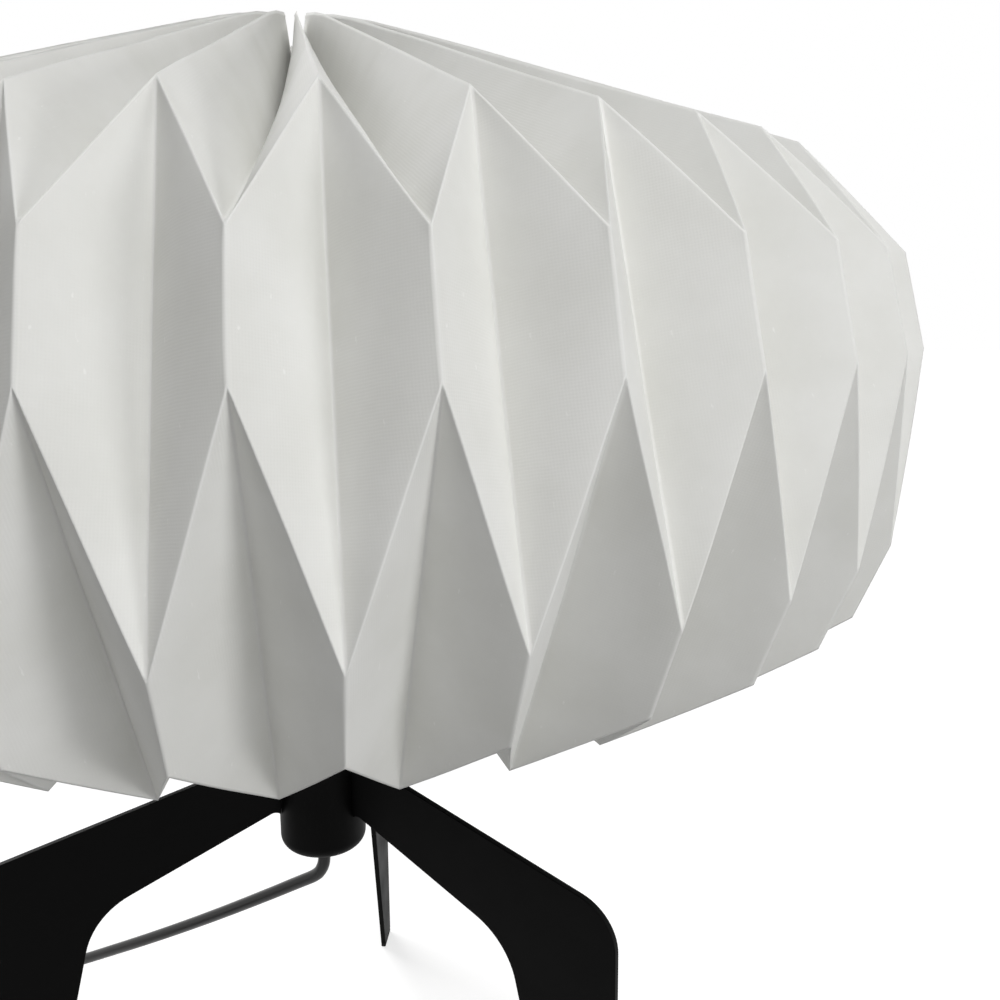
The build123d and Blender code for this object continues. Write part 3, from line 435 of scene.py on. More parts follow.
def paint(mesh: bpy.types.Mesh | bpy.types.Curve, material: bpy.types.Material) -> None:
    """Puts one material in all the slots of a mesh or a curve."""
    if not mesh.materials:
        mesh.materials.append(material)
    for index in range(len(mesh.materials)):
        mesh.materials[index] = material


def dress(
    piece: bpy.types.Object,
    material: bpy.types.Material,
    body: str,
    replaces: Sequence[str] = (),
) -> bpy.types.Object:
    """Gives a piece its finish and its body.

    Args:
        piece: The finished piece.
        material: Its finish.
        body: The body it moves with.
        replaces: The solids it stands for.

    Returns:
        The piece.
    """
    paint(piece.data, material)
    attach(piece, body)
    if replaces:
        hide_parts(*replaces)
    log.info("%s on %s", piece.name, body)
    return piece


def smoothed(node: str, smooth_angle: float = 32.0) -> bpy.types.Object:
    """Copies a solid's surface with its curved faces smooth and its edges, past this angle, sharp."""
    return to_mesh(f"{node}_smooth", skin_of(node), smooth_angle)


def eased(node: str, width_mm: float, angle: float = 30.0, flat_angle: float = 0.4) -> bpy.types.Object:
    """Copies a solid's surface and eases its edges, as moulding, stamping or coating does.

    Args:
        node: The solid's name.
        width_mm: How wide the eased edge is.
        angle: The angle in degrees past which an edge is eased.
        flat_angle: The angle in degrees below which two facets count as one.

    Returns:
        The eased copy.
    """
    work = skin_of(node)
    bmesh.ops.dissolve_limit(work, angle_limit=math.radians(flat_angle), verts=work.verts, edges=work.edges)
    piece = to_mesh(f"{node}_eased", work)
    bevel = piece.modifiers.new("edges", "BEVEL")
    bevel.width = width_mm * MM
    bevel.segments = 2
    bevel.limit_method = "ANGLE"
    bevel.angle_limit = math.radians(angle)
    bevel.use_clamp_overlap = True
    bevel.harden_normals = False
    weigh = piece.modifiers.new("normals", "WEIGHTED_NORMAL")
    weigh.keep_sharp = False
    weigh.weight = 80
    return piece


def baked(piece: bpy.types.Object) -> bpy.types.Object:
    """Turns a piece's live modifiers into plain mesh."""
    graph = bpy.context.evaluated_depsgraph_get()
    mesh = bpy.data.meshes.new_from_object(piece.evaluated_get(graph))
    piece.modifiers.clear()
    piece.data = mesh
    return piece


# ---------------------------------------------------------------- shade


def empty_tree(name: str, own: dict[str, str]) -> tuple[bpy.types.NodeTree, bpy.types.bpy_prop_collection]:
    """Starts a geometry tree that repeats one shape.

    Args:
        name: The tree's name.
        own: The kind of each input beside the shape, its count and its material, by name.

    Returns:
        The tree and its inputs as sockets to link from.
    """
    tree = bpy.data.node_groups.new(name, "GeometryNodeTree")
    for label, kind in {"Geometry": "Geometry", "Count": "Int", **own, "Material": "Material"}.items():
        tree.interface.new_socket(label, in_out="INPUT", socket_type=f"NodeSocket{kind}")
    tree.interface.new_socket("Geometry", in_out="OUTPUT", socket_type="NodeSocketGeometry")
    return tree, add_node(tree, "NodeGroupInput").outputs


def ring_tree(name: str) -> bpy.types.NodeTree:
    """Builds the tree that repeats one shape round the upright axis.

    Args:
        name: The tree's name.

    Returns:
        A geometry tree with the inputs Count, Weld, Unevenness, Wave Size and Material.
    """
    tree, given = empty_tree(name, {"Weld": "Float", "Unevenness": "Float", "Wave Size": "Float"})
    points = add_node(tree, "GeometryNodePoints", {"Count": given["Count"]})
    index = add_node(tree, "GeometryNodeInputIndex")
    step = add_node(tree, "ShaderNodeMath", {0: math.tau, 1: given["Count"]}, operation="DIVIDE")
    turn = add_node(
        tree, "ShaderNodeMath", {0: index.outputs["Index"], 1: step.outputs["Value"]}, operation="MULTIPLY"
    )
    spin = add_node(tree, "ShaderNodeCombineXYZ", {"Z": turn.outputs["Value"]})
    placed = add_node(
        tree,
        "GeometryNodeInstanceOnPoints",
        {"Points": points.outputs["Points"], "Instance": given["Geometry"], "Rotation": spin.outputs["Vector"]},
    )
    real = add_node(tree, "GeometryNodeRealizeInstances", {"Geometry": placed.outputs["Instances"]})
    welded = add_node(
        tree, "GeometryNodeMergeByDistance", {"Geometry": real.outputs["Geometry"], "Distance": given["Weld"]}
    )
    # A slow wave moves the whole ring a little
    wave = add_node(tree, "ShaderNodeTexNoise", {"Scale": given["Wave Size"], "Detail": 1.0})
    centred = add_node(
        tree, "ShaderNodeVectorMath", {0: wave.outputs["Color"], 1: (0.5, 0.5, 0.5)}, operation="SUBTRACT"
    )
    shift = add_node(
        tree,
        "ShaderNodeVectorMath",
        {0: centred.outputs["Vector"], "Scale": given["Unevenness"]},
        operation="SCALE",
    )
    moved = add_node(
        tree,
        "GeometryNodeSetPosition",
        {"Geometry": welded.outputs["Geometry"], "Offset": shift.outputs["Vector"]},
    )
    made = add_node(
        tree, "GeometryNodeSetMaterial", {"Geometry": moved.outputs["Geometry"], "Material": given["Material"]}
    )
    add_node(tree, "NodeGroupOutput", {"Geometry": made.outputs["Geometry"]})
    return tree


def grow(piece: bpy.types.Object, tree: bpy.types.NodeTree, values: dict[str, object]) -> bpy.types.Object:
    """Runs a geometry tree on a piece with these inputs and keeps the result as plain mesh.

    Args:
        piece: The piece that holds the shape to repeat.
        tree: The geometry tree.
        values: Its inputs by name.

    Returns:
        The same piece with the finished mesh.
    """
    modifier = piece.modifiers.new("grow", "NODES")
    modifier.node_group = tree
    sockets = {item.name: item.identifier for item in tree.interface.items_tree if item.in_out == "INPUT"}
    for name, value in values.items():
        modifier[sockets[name]] = value
    return baked(piece)


@dataclass
class PleatedShade:
    """The folded paper shade: one sheet in thirty-six pleats, crossed by three zigzag folds."""

    pleats: int = 36
    turn: float = 6.0
    sheet_width: float = 30.1
    thickness: float = 0.6
    # Radius and height of the fold that is out at the hip, and of the one that is out at the waist
    hip_fold: tuple = ((24.5, 534.0), (207.9, 472.9), (246.7, 341.3), (236.5, 314.4), (125.9, 331.9))
    waist_fold: tuple = ((15.6, 505.3), (241.8, 437.9), (250.0, 405.7), (194.7, 286.0), (127.1, 304.1))
    # How far each row of facets swells between its folds, in its middle and at its ends
    swell: dict = field(
        default_factory=lambda: {
            Band.CROWN: (0.7, 0.75),
            Band.WAIST: (1.6, 0.4),
            Band.KITE: (0.7, 0.3),
            Band.UNDERSIDE: (0.5, 0.2),
        }
    )
    rows: dict = field(
        default_factory=lambda: {Band.CROWN: 12, Band.WAIST: 9, Band.KITE: 9, Band.UNDERSIDE: 7}
    )
    columns: tuple = (0.0, 0.033, 0.09, 0.2, 0.35, 0.5, 0.65, 0.8, 0.91, 0.967, 1.0)
    # How far the two rows of points beside a fold lie from it
    crease: float = 1.0
    crease_reach: float = 3.0
    # How white a zigzag fold and an upright one are painted: the film's whitening together with a painted
    # crease highlight
    zigzag_mark: float = 1.0
    upright_mark: float = 0.45
    # Points this close together are one point, within a pleat and between two pleats
    merge: float = 0.02
    weld: float = 0.03
    # Nothing folded is exact: how far a slow wave moves the sheet, and how many waves a metre holds
    unevenness: float = 1.4
    waves_per_metre: float = 14.0
    # Paper off a roll curls more one way, so the facets on one side of each pleat swell more
    curl: float = 0.4
    # The upper folds run straight to where the pleats are gathered, and flatten from there
    gather_place: float = 0.134
    gather_rise: float = 2.8
    # Where they are gathered the pleats lean over a little, all the same way round, in degrees
    lean: float = 1.25
    lean_reach: float = 0.3

    def corner(self, fold: tuple, index: int, side: int, waist: bool) -> Vector:
        """Gives a fold's point in the half pleat on this side, in millimetres."""
        radius, height = fold[index]
        angle = math.radians(180.0 / self.pleats) * side if waist else 0.0
        return Vector((radius * math.cos(angle), radius * math.sin(angle), height))

    def patch(self, band: Band, side: int, u: float, v: float) -> Vector:
        """Gives the plain point of a facet, before it swells.

        Args:
            band: The facet's row.
            side: 1 or -1, which side of the hip fold it is on.
            u: From 0 at the hip fold to 1 at the waist fold.
            v: From 0 at the row's top to 1 at its bottom.

        Returns:
            The point in millimetres.
        """
        ends = []
        for index in (band.value, band.value + 1):
            hip = self.corner(self.hip_fold, index, side, False)
            ends.append(hip.lerp(self.corner(self.waist_fold, index, side, True), u))
        point = ends[0].lerp(ends[1], v)
        if band is Band.CROWN:
            point.z += self.gather(v) * (1.0 - u)
            over = math.radians(self.lean) * max(1.0 - v / self.lean_reach, 0.0) ** 2
            point = Matrix.Rotation(over, 3, "Z") @ point
        return point

    def gather(self, v: float) -> float:
        """Gives how far an upper fold stands above the straight line between its ends."""
        up, down = max(v, 0.0) / self.gather_place, max(1.0 - v, 0.0) / (1.0 - self.gather_place)
        return self.gather_rise * up * down / (up**4 + down**4) ** 0.25

    def outward(self, band: Band, side: int, u: float, v: float) -> Vector:
        """Gives the facet's outward direction at a point."""
        step = 0.01
        across = self.patch(band, side, u + step, v) - self.patch(band, side, u - step, v)
        along = self.patch(band, side, u, v + step) - self.patch(band, side, u, v - step)
        return (along.cross(across) * side).normalized()

    def swollen(self, band: Band, side: int, u: float, v: float) -> Vector:
        """Gives the point of a facet with the paper's own curve between its folds."""
        middle, end = self.swell[band]
        nearness = (2.0 * abs(v - 0.5)) ** 4
        # Beside a zigzag fold both rows take the direction half way between them, so they stay joined
        neighbour = band
        if v < 0.5 and band is not Band.CROWN:
            neighbour = Band(band.value - 1)
        if v > 0.5 and band is not Band.UNDERSIDE:
            neighbour = Band(band.value + 1)
        edge = 0.0 if v < 0.5 else 1.0
        here = self.outward(band, side, u, edge)
        there = self.outward(neighbour, side, u, 1.0 - edge) if neighbour is not band else here
        shared = (here + there).normalized() * min(end, self.swell[neighbour][1])
        own = self.outward(band, side, u, v) * middle * (1.0 + self.curl * side)
        push = (own * (1.0 - nearness) + shared * nearness) * 4.0 * u * (1.0 - u)
        return self.patch(band, side, u, v) + push

    def row_places(self, band: Band, side: int, u: float) -> list[float]:
        """Gives where the rows lie down one column: close together beside the folds."""
        length = (self.patch(band, side, u, 1.0) - self.patch(band, side, u, 0.0)).length
        near = [0.0, self.crease / length, self.crease_reach / length]
        count = self.rows[band]
        inner = [near[2] + (1.0 - 2.0 * near[2]) * step / count for step in range(1, count)]
        return near + inner + [1.0 - place for place in reversed(near)]

    def whiteness_and_highlight(self, band: Band, u: float, v: float) -> float:
        """Gives how white a fold is painted, the film's whitening together with a painted crease highlight: on
        the folds, but not on the sheet's two cut edges.
        """
        cut_edge = (band is Band.CROWN and v == 0.0) or (band is Band.UNDERSIDE and v == 1.0)
        if v in (0.0, 1.0) and not cut_edge:
            return self.zigzag_mark
        return self.upright_mark if u in (0.0, 1.0) else 0.0

    def run_along(self, fold: tuple) -> list[float]:
        """Gives the length of paper down a fold to each of its points."""
        lengths = [0.0]
        for first, second in zip(fold, fold[1:]):
            lengths.append(lengths[-1] + math.dist(first, second))
        return lengths

    def one_pleat(self) -> bpy.types.Object:
        """Builds one pleat, from waist fold to waist fold, with its map and its fold marks."""
        work = bmesh.new()
        sheet = work.loops.layers.uv.new("sheet")
        marks = work.verts.layers.float.new("fold")
        hip_run = self.run_along(self.hip_fold)
        waist_run = self.run_along(self.waist_fold)
        base = Matrix.Rotation(math.radians(self.turn), 3, "Z")
        for side in (1, -1):
            for band in Band:
                grid, flat = [], []
                for u in self.columns:
                    places = self.row_places(band, side, u)
                    line, flat_line = [], []
                    for v in places:
                        vertex = work.verts.new(base @ self.swollen(band, side, u, v) * MM)
                        vertex[marks] = self.whiteness_and_highlight(band, u, v)
                        line.append(vertex)
                        hip = hip_run[band.value] + (hip_run[band.value + 1] - hip_run[band.value]) * v
                        waist = waist_run[band.value] + (waist_run[band.value + 1] - waist_run[band.value]) * v
                        flat_line.append((side * self.sheet_width * u * MM, (hip + (waist - hip) * u) * MM))
                    grid.append(line)
                    flat.append(flat_line)
                for column in range(len(grid) - 1):
                    for row in range(len(grid[0]) - 1):
                        cells = [(column, row), (column + 1, row), (column + 1, row + 1), (column, row + 1)]
                        if side == 1:
                            cells.reverse()
                        face = work.faces.new([grid[c][r] for c, r in cells])
                        for loop, (c, r) in zip(face.loops, cells):
                            loop[sheet].uv = flat[c][r]
        bmesh.ops.remove_doubles(work, verts=work.verts, dist=self.merge * MM)
        return to_mesh("folded_shade", work)

    def build(self, finishes: Finishes) -> bpy.types.Object:
        """Folds the whole shade.

        Args:
            finishes: The materials by slot.

        Returns:
            The shade, one thickness of paper all over.
        """
        shade = grow(
            self.one_pleat(),
            ring_tree("pleats_round"),
            {
                "Count": self.pleats,
                "Weld": self.weld * MM,
                "Unevenness": self.unevenness * MM,
                "Wave Size": self.waves_per_metre,
                "Material": finishes[Slot.PAPER],
            },
        )
        paper = shade.modifiers.new("paper", "SOLIDIFY")
        paper.thickness = self.thickness * MM
        paper.offset = -1.0
        baked(shade)
        return dress(shade, finishes[Slot.PAPER], "shade", ["pleated_shade"])


# ---------------------------------------------------------------- lead


@dataclass
class Lead:
    """The mains lead: out of the hub, down to the table, through the switch, coiled, and to the plug."""

    diameter: float = 6.2
    free_route: tuple = (
        (0.0, 0.0, 158.0),
        (0.0, 0.0, 152.0),
        (-1.8, 0.7, 146.3),
        (-5.2, 2.1, 141.7),
        (-14.8, 6.0, 135.2),
        (-33.4, 13.5, 122.2),
        (-70.5, 28.5, 97.0),
        (-113.1, 45.7, 69.5),
        (-159.5, 64.4, 41.0),
        (-196.6, 79.4, 18.5),
        (-226.2, 91.4, 5.6),
        (-247.0, 98.0, 3.2),
        (-266.0, 93.0, 3.2),
        (-278.0, 78.0, 3.2),
        (-281.0, 60.0, 5.4),
        (-279.0, 42.0, 8.7),
        (-279.0, 22.0, 8.7),
    )
    coil_feed: tuple = (
        (-279.0, -38.0, 8.7),
        (-279.0, -51.0, 8.7),
        (-279.0, -72.0, 4.6),
        (-279.0, -84.0, 4.6),
    )
    plug_feed: tuple = (
        (-186.0, -84.0, 11.6),
        (-186.0, -78.8, 11.6),
        (-186.0, -66.8, 6.95),
        (-186.0, -55.8, 6.95),
    )
    coil_centre: tuple = (-232.5, -96.0)
    coil_outer: float = 46.5
    coil_inner: float = 26.0
    coil_low: float = 4.6
    coil_high: float = 11.6
    half_turns: int = 11
    points_per_turn: int = 16

    def coil_points(self) -> list[Point]:
        """Works out the coil's turns: in along the table, up one layer, and out again on top."""
        steps = self.half_turns * self.points_per_turn // 2
        inward = (self.half_turns - 1) / 2
        # The line passes inside its control points, so they stand out by half of what it cuts off
        widen = 1.0 / math.cos(math.pi / self.points_per_turn) ** 2
        points = []
        for step in range(steps + 1):
            halves = step / (self.points_per_turn / 2)
            spent = min(halves, inward) if halves <= inward + 1 else inward - (halves - inward - 1)
            radius = self.coil_outer - (self.coil_outer - self.coil_inner) * spent / inward
            climb = min(max(halves - inward, 0.0), 1.0)
            turn = math.pi + halves * math.pi
            radius *= 1.0 + (widen - 1.0) / 2
            points.append(
                (
                    self.coil_centre[0] + radius * math.cos(turn),
                    self.coil_centre[1] + radius * math.sin(turn),
                    self.coil_low + (self.coil_high - self.coil_low) * climb,
                )
            )
        return points

    def curve(self, name: str, points: Sequence[Point]) -> bpy.types.Object:
        """Lays a round sheath along a smooth line.

        Args:
            name: The piece's name.
            points: The line's control points in millimetres.

        Returns:
            The curve object.
        """
        data = bpy.data.curves.new(name, "CURVE")
        data.dimensions = "3D"
        data.bevel_depth = self.diameter / 2 * MM
        data.bevel_resolution = 5
        data.resolution_u = 10
        data.use_fill_caps = True
        spline = data.splines.new("NURBS")
        spline.points.add(len(points) - 1)
        for knot, (x, y, z) in zip(spline.points, points):
            knot.co = (x * MM, y * MM, z * MM, 1.0)
        spline.order_u = 3
        spline.use_endpoint_u = True
        piece = bpy.data.objects.new(name, data)
        bpy.context.scene.collection.objects.link(piece)
        return piece

    def build(self, finishes: Finishes) -> dict[str, bpy.types.Object]:
        """Lays both lengths of the lead.

        Args:
            finishes: The materials by slot.

        Returns:
            The two lengths by name.
        """
        to_switch = self.curve("lead_to_switch", self.free_route)
        dress(to_switch, finishes[Slot.FLEX], "stand", ["cord_free_run"])
        to_plug = self.curve("lead_to_plug", [*self.coil_feed, *self.coil_points()[1:], *self.plug_feed])
        dress(to_plug, finishes[Slot.FLEX], "stand", ["cord_to_coil", "cord_coil", "cord_to_plug"])
        return {"to_switch": to_switch, "to_plug": to_plug}


# ---------------------------------------------------------------- studio


@dataclass
class Studio:
    """The floor, the lamps and the camera."""

    place: Point = (0.11501, -0.44218, 0.42125)
    right: Point = (0.994643, 0.10321, -0.005652)
    down: Point = (0.016572, -0.213202, -0.976868)
    ahead: Point = (-0.102028, 0.971541, -0.21377)
    lens: float = 36.06
    shift: tuple[float, float] = (0.0402, 0.0243)
    aim_height: float = 0.38
    floor_reach: float = 9.0
    # The floor lies a hair below the pads, so that no two faces share one plane
    floor_gap: float = 0.0002
    # How brightly the floor is seen near the lamp, and how far off it turns white
    floor_lift: float = 0.72
    floor_near: float = 0.5
    floor_far: float = 2.2
    surround: float = 0.1

    def camera(self) -> None:
        """Stands the camera where the photograph was taken."""
        data = bpy.data.cameras.new("camera")
        data.lens = self.lens
        data.sensor_width = 36.0
        data.shift_x, data.shift_y = self.shift
        data.clip_start, data.clip_end = 0.01, 50.0
        camera = bpy.data.objects.new("camera", data)
        up = -Vector(self.down)
        back = -Vector(self.ahead)
        axes = Matrix((self.right, up, back)).transposed().to_4x4()
        camera.matrix_world = Matrix.Translation(self.place) @ axes
        bpy.context.scene.collection.objects.link(camera)
        bpy.context.scene.camera = camera

    def lamp(
        self, name: str, azimuth: float, height: float, distance: float, size: float, power: float
    ) -> None:
        """Hangs one soft square lamp that faces the shade.

        Args:
            name: The lamp's name.
            azimuth: The side it stands on, in degrees from +X.
            height: Its height in metres.
            distance: How far it is from the upright axis, in metres.
            size: The length of its side, in metres.
            power: Its power in watts.
        """
        data = bpy.data.lights.new(name, "AREA")
        data.size = size
        data.energy = power
        lamp = bpy.data.objects.new(name, data)
        turn = math.radians(azimuth)
        lamp.location = (distance * math.cos(turn), distance * math.sin(turn), height)
        towards = Vector((0.0, 0.0, self.aim_height)) - lamp.location
        lamp.rotation_mode = "QUATERNION"
        lamp.rotation_quaternion = towards.to_track_quat("-Z", "Y")
        bpy.context.scene.collection.objects.link(lamp)

    def world(self) -> None:
        """Sets an even grey surround that the camera and the glossy surfaces see as white."""
        world = bpy.data.worlds.new("surround")
        world.use_nodes = True
        tree = world.node_tree
        tree.nodes.clear()
        dim = add_node(tree, "ShaderNodeBackground", {"Color": linear("FFFFFF"), "Strength": self.surround})
        white = add_node(tree, "ShaderNodeBackground", {"Color": linear("FFFFFF"), "Strength": 1.0})
        mixed = add_node(
            tree,
            "ShaderNodeMixShader",
            {0: self.seen_directly(tree), 1: dim.outputs["Background"], 2: white.outputs["Background"]},
        )
        add_node(tree, "ShaderNodeOutputWorld", {"Surface": mixed.outputs["Shader"]})
        bpy.context.scene.world = world

    def seen_directly(self, tree: bpy.types.NodeTree) -> bpy.types.NodeSocket:
        """Gives 1 for a ray from the camera, or from a glossy or clear surface, and 0 for others."""
        path = add_node(tree, "ShaderNodeLightPath").outputs
        clear = add_node(
            tree,
            "ShaderNodeMath",
            {0: path["Is Glossy Ray"], 1: path["Is Transmission Ray"]},
            operation="MAXIMUM",
        )
        seen = add_node(
            tree, "ShaderNodeMath", {0: path["Is Camera Ray"], 1: clear.outputs["Value"]}, operation="MAXIMUM"
        )
        return seen.outputs["Value"]

    def floor_finish(self) -> bpy.types.Material:
        """Makes matt white paper for the floor, which is seen as white and keeps its shadows."""
        material, tree, shader = new_surface("white_backdrop_paper")
        shader.inputs["Base Color"].default_value = linear("BEBEBE")
        shader.inputs["Roughness"].default_value = 1.0
        shader.inputs["Specular IOR Level"].default_value = 0.0
        shader.inputs["Emission Color"].default_value = linear("FFFFFF")
        # White up to the horizon; nearer the lamp the paper's own light and shadow show more
        place = add_node(tree, "ShaderNodeTexCoord").outputs["Object"]
        away = add_node(tree, "ShaderNodeVectorMath", {0: place}, operation="LENGTH")
        bright = add_node(
            tree,
            "ShaderNodeMapRange",
            {
                "Value": away.outputs["Value"],
                "From Min": self.floor_near,
                "From Max": self.floor_far,
                "To Min": self.floor_lift,
                "To Max": 1.0,
            },
        )
        lift = add_node(
            tree,
            "ShaderNodeMath",
            {0: self.seen_directly(tree), 1: bright.outputs["Result"]},
            operation="MULTIPLY",
        )
        tree.links.new(lift.outputs["Value"], shader.inputs["Emission Strength"])
        return material

    def floor(self) -> None:
        """Lays the plain pale floor."""
        work = bmesh.new()
        bmesh.ops.create_grid(work, x_segments=1, y_segments=1, size=self.floor_reach)
        mesh = bpy.data.meshes.new("floor")
        work.to_mesh(mesh)
        work.free()
        floor = mesh_object("floor", mesh)
        floor.location = (0.0, 0.0, -self.floor_gap)
        mesh.materials.append(self.floor_finish())

    def build(self) -> None:
        """Sets up the whole studio."""
        self.camera()
        self.floor()
        self.world()
        self.lamp("key", -60.0, 1.6, 1.3, 1.2, 19.4)
        self.lamp("low_fill", -28.0, 0.3, 1.8, 0.5, 6.0)
        self.lamp("back_fill", 135.0, 1.3, 1.6, 1.2, 30.0)
        bpy.context.scene.view_settings.view_transform = "Standard"


# ---------------------------------------------------------------- the lamp


@dataclass
class Part:
    """One solid and how its surface is finished."""

    node: str
    slot: Slot
    ease_mm: float = 0.0
    body: str = "stand"

    def build(self, finishes: Finishes) -> bpy.types.Object:
        """Dresses the solid with an eased or a smooth copy.

        Args:
            finishes: The materials by slot.

        Returns:
            The copy.
        """
        piece = eased(self.node, self.ease_mm) if self.ease_mm else smoothed(self.node)
        return dress(piece, finishes[self.slot], self.body, [self.node])


@dataclass
class Section:
    """A sub-assembly whose pieces are its own solids, finished."""

    def parts(self) -> list[Part]:
        """Lists the solids of the section and their finishes."""
        return []

    def build(self, finishes: Finishes) -> list[bpy.types.Object]:
        """Dresses the section.

        Args:
            finishes: The materials by slot.

        Returns:
            Its pieces.
        """
        return [part.build(finishes) for part in self.parts()]


@dataclass
class Stand(Section):
    """Hub, stem, legs and pads."""

    # The plate is laser cut, tumbled and coated, which rounds its edges by about this much
    plate_edge: float = 0.45
    turned_edge: float = 0.4

    def parts(self) -> list[Part]:
        """Lists the legs, the hub, its grip and pads, and the clamping hardware."""
        legs = [Part(node, Slot.STEEL, self.plate_edge) for node in ("leg_rear", "leg_left", "leg_right")]
        hub = [Part(node, Slot.STEEL, self.turned_edge) for node in ("hub_cup", "hub_cap")]
        soft = [Part("foot_pads", Slot.RUBBER, 0.5), Part("cord_grip", Slot.PLASTIC, 0.5)]
        clamp = [Part("stem_washer", Slot.ZINC, 0.15), Part("stem_nut", Slot.ZINC, 0.3)]
        return [*legs, *hub, *soft, *clamp, Part("threaded_stem", Slot.ZINC)]


@dataclass
class Carrier(Section):
    """The wire carrier that the shade hangs on, and the ring that clamps it."""

    def parts(self) -> list[Part]:
        """Lists the carrier's ring, plate and wires, and the threaded ring."""
        carrier = [Part("carrier_ring", Slot.ZINC, 0.5), Part("carrier_plate", Slot.ZINC, 0.3)]
        return [*carrier, Part("carrier_uprights", Slot.ZINC), Part("shade_ring", Slot.PLASTIC)]


@dataclass
class Lampholder(Section):
    """The screw lampholder with its contacts."""

    def parts(self) -> list[Part]:
        """Lists the cap, the skirt, the insert and the screw shell."""
        case = [Part("lampholder_cap", Slot.PLASTIC, 0.5), Part("lampholder_skirt", Slot.PLASTIC)]
        return [*case, Part("lampholder_insert", Slot.WHITE_PLASTIC), Part("contact_shell", Slot.BRASS)]


@dataclass
class Bulb(Section):
    """The opal bulb with its rolled screw cap."""

    def parts(self) -> list[Part]:
        """Lists the glass, the cap, the insulator and the tip contact."""
        shell = [Part("bulb_glass", Slot.GLASS, body="bulb"), Part("bulb_cap", Slot.ALUMINIUM, body="bulb")]
        tip = [Part("bulb_insulator", Slot.CERAMIC, body="bulb"), Part("bulb_contact", Slot.BRASS, 0.2, "bulb")]
        return [*shell, *tip]


def row_tree(name: str) -> bpy.types.NodeTree:
    """Builds the tree that repeats one shape along a straight row.

    Args:
        name: The tree's name.

    Returns:
        A geometry tree with the inputs Count, First, Step and Material.
    """
    tree, given = empty_tree(name, {"First": "Vector", "Step": "Vector"})
    line = add_node(
        tree,
        "GeometryNodeMeshLine",
        {"Count": given["Count"], "Start Location": given["First"], "Offset": given["Step"]},
    )
    placed = add_node(
        tree, "GeometryNodeInstanceOnPoints", {"Points": line.outputs["Mesh"], "Instance": given["Geometry"]}
    )
    real = add_node(tree, "GeometryNodeRealizeInstances", {"Geometry": placed.outputs["Instances"]})
    made = add_node(
        tree, "GeometryNodeSetMaterial", {"Geometry": real.outputs["Geometry"], "Material": given["Material"]}
    )
    add_node(tree, "NodeGroupOutput", {"Geometry": made.outputs["Geometry"]})
    return tree


@dataclass
class Ribs:
    """A row of moulded grip ribs, sunk by half of their height."""

    name: str
    first: Point
    size: Point
    edge: float
    step: float
    count: int = 5

    def bar(self) -> bpy.types.Object:
        """Moulds one rib about its own centre."""
        work = bmesh.new()
        bmesh.ops.create_cube(work, size=1.0)
        bmesh.ops.scale(work, vec=Vector(self.size) * MM, verts=work.verts)
        bmesh.ops.bevel(
            work,
            geom=list(work.edges),
            offset=self.edge * MM,
            segments=2,
            profile=0.5,
            affect="EDGES",
            clamp_overlap=True,
        )
        bmesh.ops.remove_doubles(work, verts=work.verts, dist=MERGE / 2)
        bmesh.ops.recalc_face_normals(work, faces=work.faces)
        return to_mesh(self.name, work, smooth_angle=50.0)

    def build(self, finishes: Finishes) -> bpy.types.Object:
        """Moulds the row.

        Args:
            finishes: The materials by slot.

        Returns:
            The ribs as one piece.
        """
        values = {
            "Count": self.count,
            "First": [value * MM for value in self.first],
            "Step": [0.0, self.step * MM, 0.0],
            "Material": finishes[Slot.PLASTIC],
        }
        ribs = grow(self.bar(), row_tree("ribs_in_a_row"), values)
        return dress(ribs, finishes[Slot.PLASTIC], "stand")


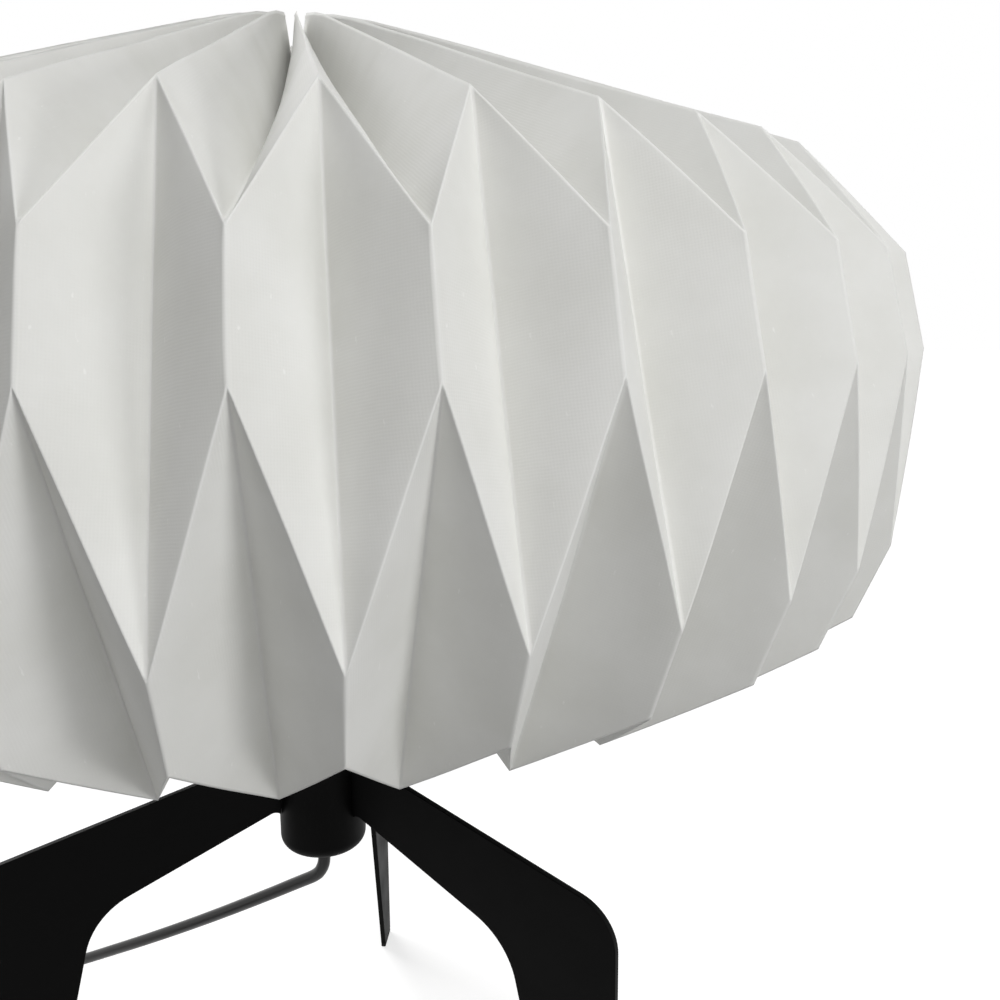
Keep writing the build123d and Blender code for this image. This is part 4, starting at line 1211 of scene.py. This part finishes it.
@dataclass
class HandSwitch(Section):
    """The rocker switch on the lead, with grip ribs at both ends of its cover."""

    centre: tuple[float, float] = (-279.0, -8.0)
    rib_count: int = 5
    rib_size: Point = (14.0, 1.0, 0.8)
    rib_edge: float = 0.25
    # Where the ribs begin on each side of the rocker, and the spacing and height of their middles
    rib_start: float = 12.5
    rib_step: float = 2.2
    rib_top: float = 18.7

    def parts(self) -> list[Part]:
        """Lists the base, the cover and the rocker."""
        case = [Part("switch_base", Slot.PLASTIC, 0.6), Part("switch_cover", Slot.PLASTIC, 0.8)]
        return [*case, Part("switch_rocker", Slot.PLASTIC, 0.5, "rocker")]

    def build(self, finishes: Finishes) -> list[bpy.types.Object]:
        """Dresses the switch and moulds its ribs.

        Args:
            finishes: The materials by slot.

        Returns:
            The pieces that ride with the lead.
        """
        pieces = super().build(finishes)
        front = -self.rib_start - self.rib_step * (self.rib_count - 1)
        for end, along in (("rear", self.rib_start), ("front", front)):
            first = (self.centre[0], self.centre[1] + along, self.rib_top)
            row = Ribs(f"switch_ribs_{end}", first, self.rib_size, self.rib_edge, self.rib_step, self.rib_count)
            pieces.append(row.build(finishes))
        return pieces


@dataclass
class PlugAndTies(Section):
    """The two-pin plug with the ribs on its grip, and the bands round the coil."""

    ribs: Ribs = field(
        default_factory=lambda: Ribs("plug_ribs", (-186.0, -15.0, 13.8), (20.0, 1.1, 0.9), edge=0.3, step=2.6)
    )

    def parts(self) -> list[Part]:
        """Lists the plug, its pins and the ties."""
        plug = [Part("plug_body", Slot.PLASTIC, 0.8), Part("plug_pins", Slot.BRASS, 0.3)]
        return [*plug, Part("coil_ties", Slot.RUBBER, 0.3)]

    def build(self, finishes: Finishes) -> list[bpy.types.Object]:
        """Dresses the plug and the ties, and moulds the plug's ribs.

        Args:
            finishes: The materials by slot.

        Returns:
            The pieces that ride with the lead.
        """
        return [*super().build(finishes), self.ribs.build(finishes)]


def paint_solids(finishes: Finishes) -> None:
    """Gives every solid that still shows the finish of its slot."""
    slots = {entry["node"]: entry["material_slot"] for entry in frame["record"]["subparts"]}
    for node, piece in frame["nodes"].items():
        paint(piece.data, finishes[Slot(slots[node])])


def main() -> None:
    """Builds the studio and dresses the lamp."""
    logging.basicConfig(level=logging.INFO, format="%(name)s: %(message)s")
    Studio().build()
    finishes = build_finishes()
    paint_solids(finishes)
    lead = Lead()
    lengths = lead.build(finishes)
    PleatedShade().build(finishes)
    for section in (Stand(), Carrier(), Lampholder(), Bulb()):
        section.build(finishes)
    HandSwitch().build(finishes)
    PlugAndTies().build(finishes)


if __name__ == "__main__":
    main()
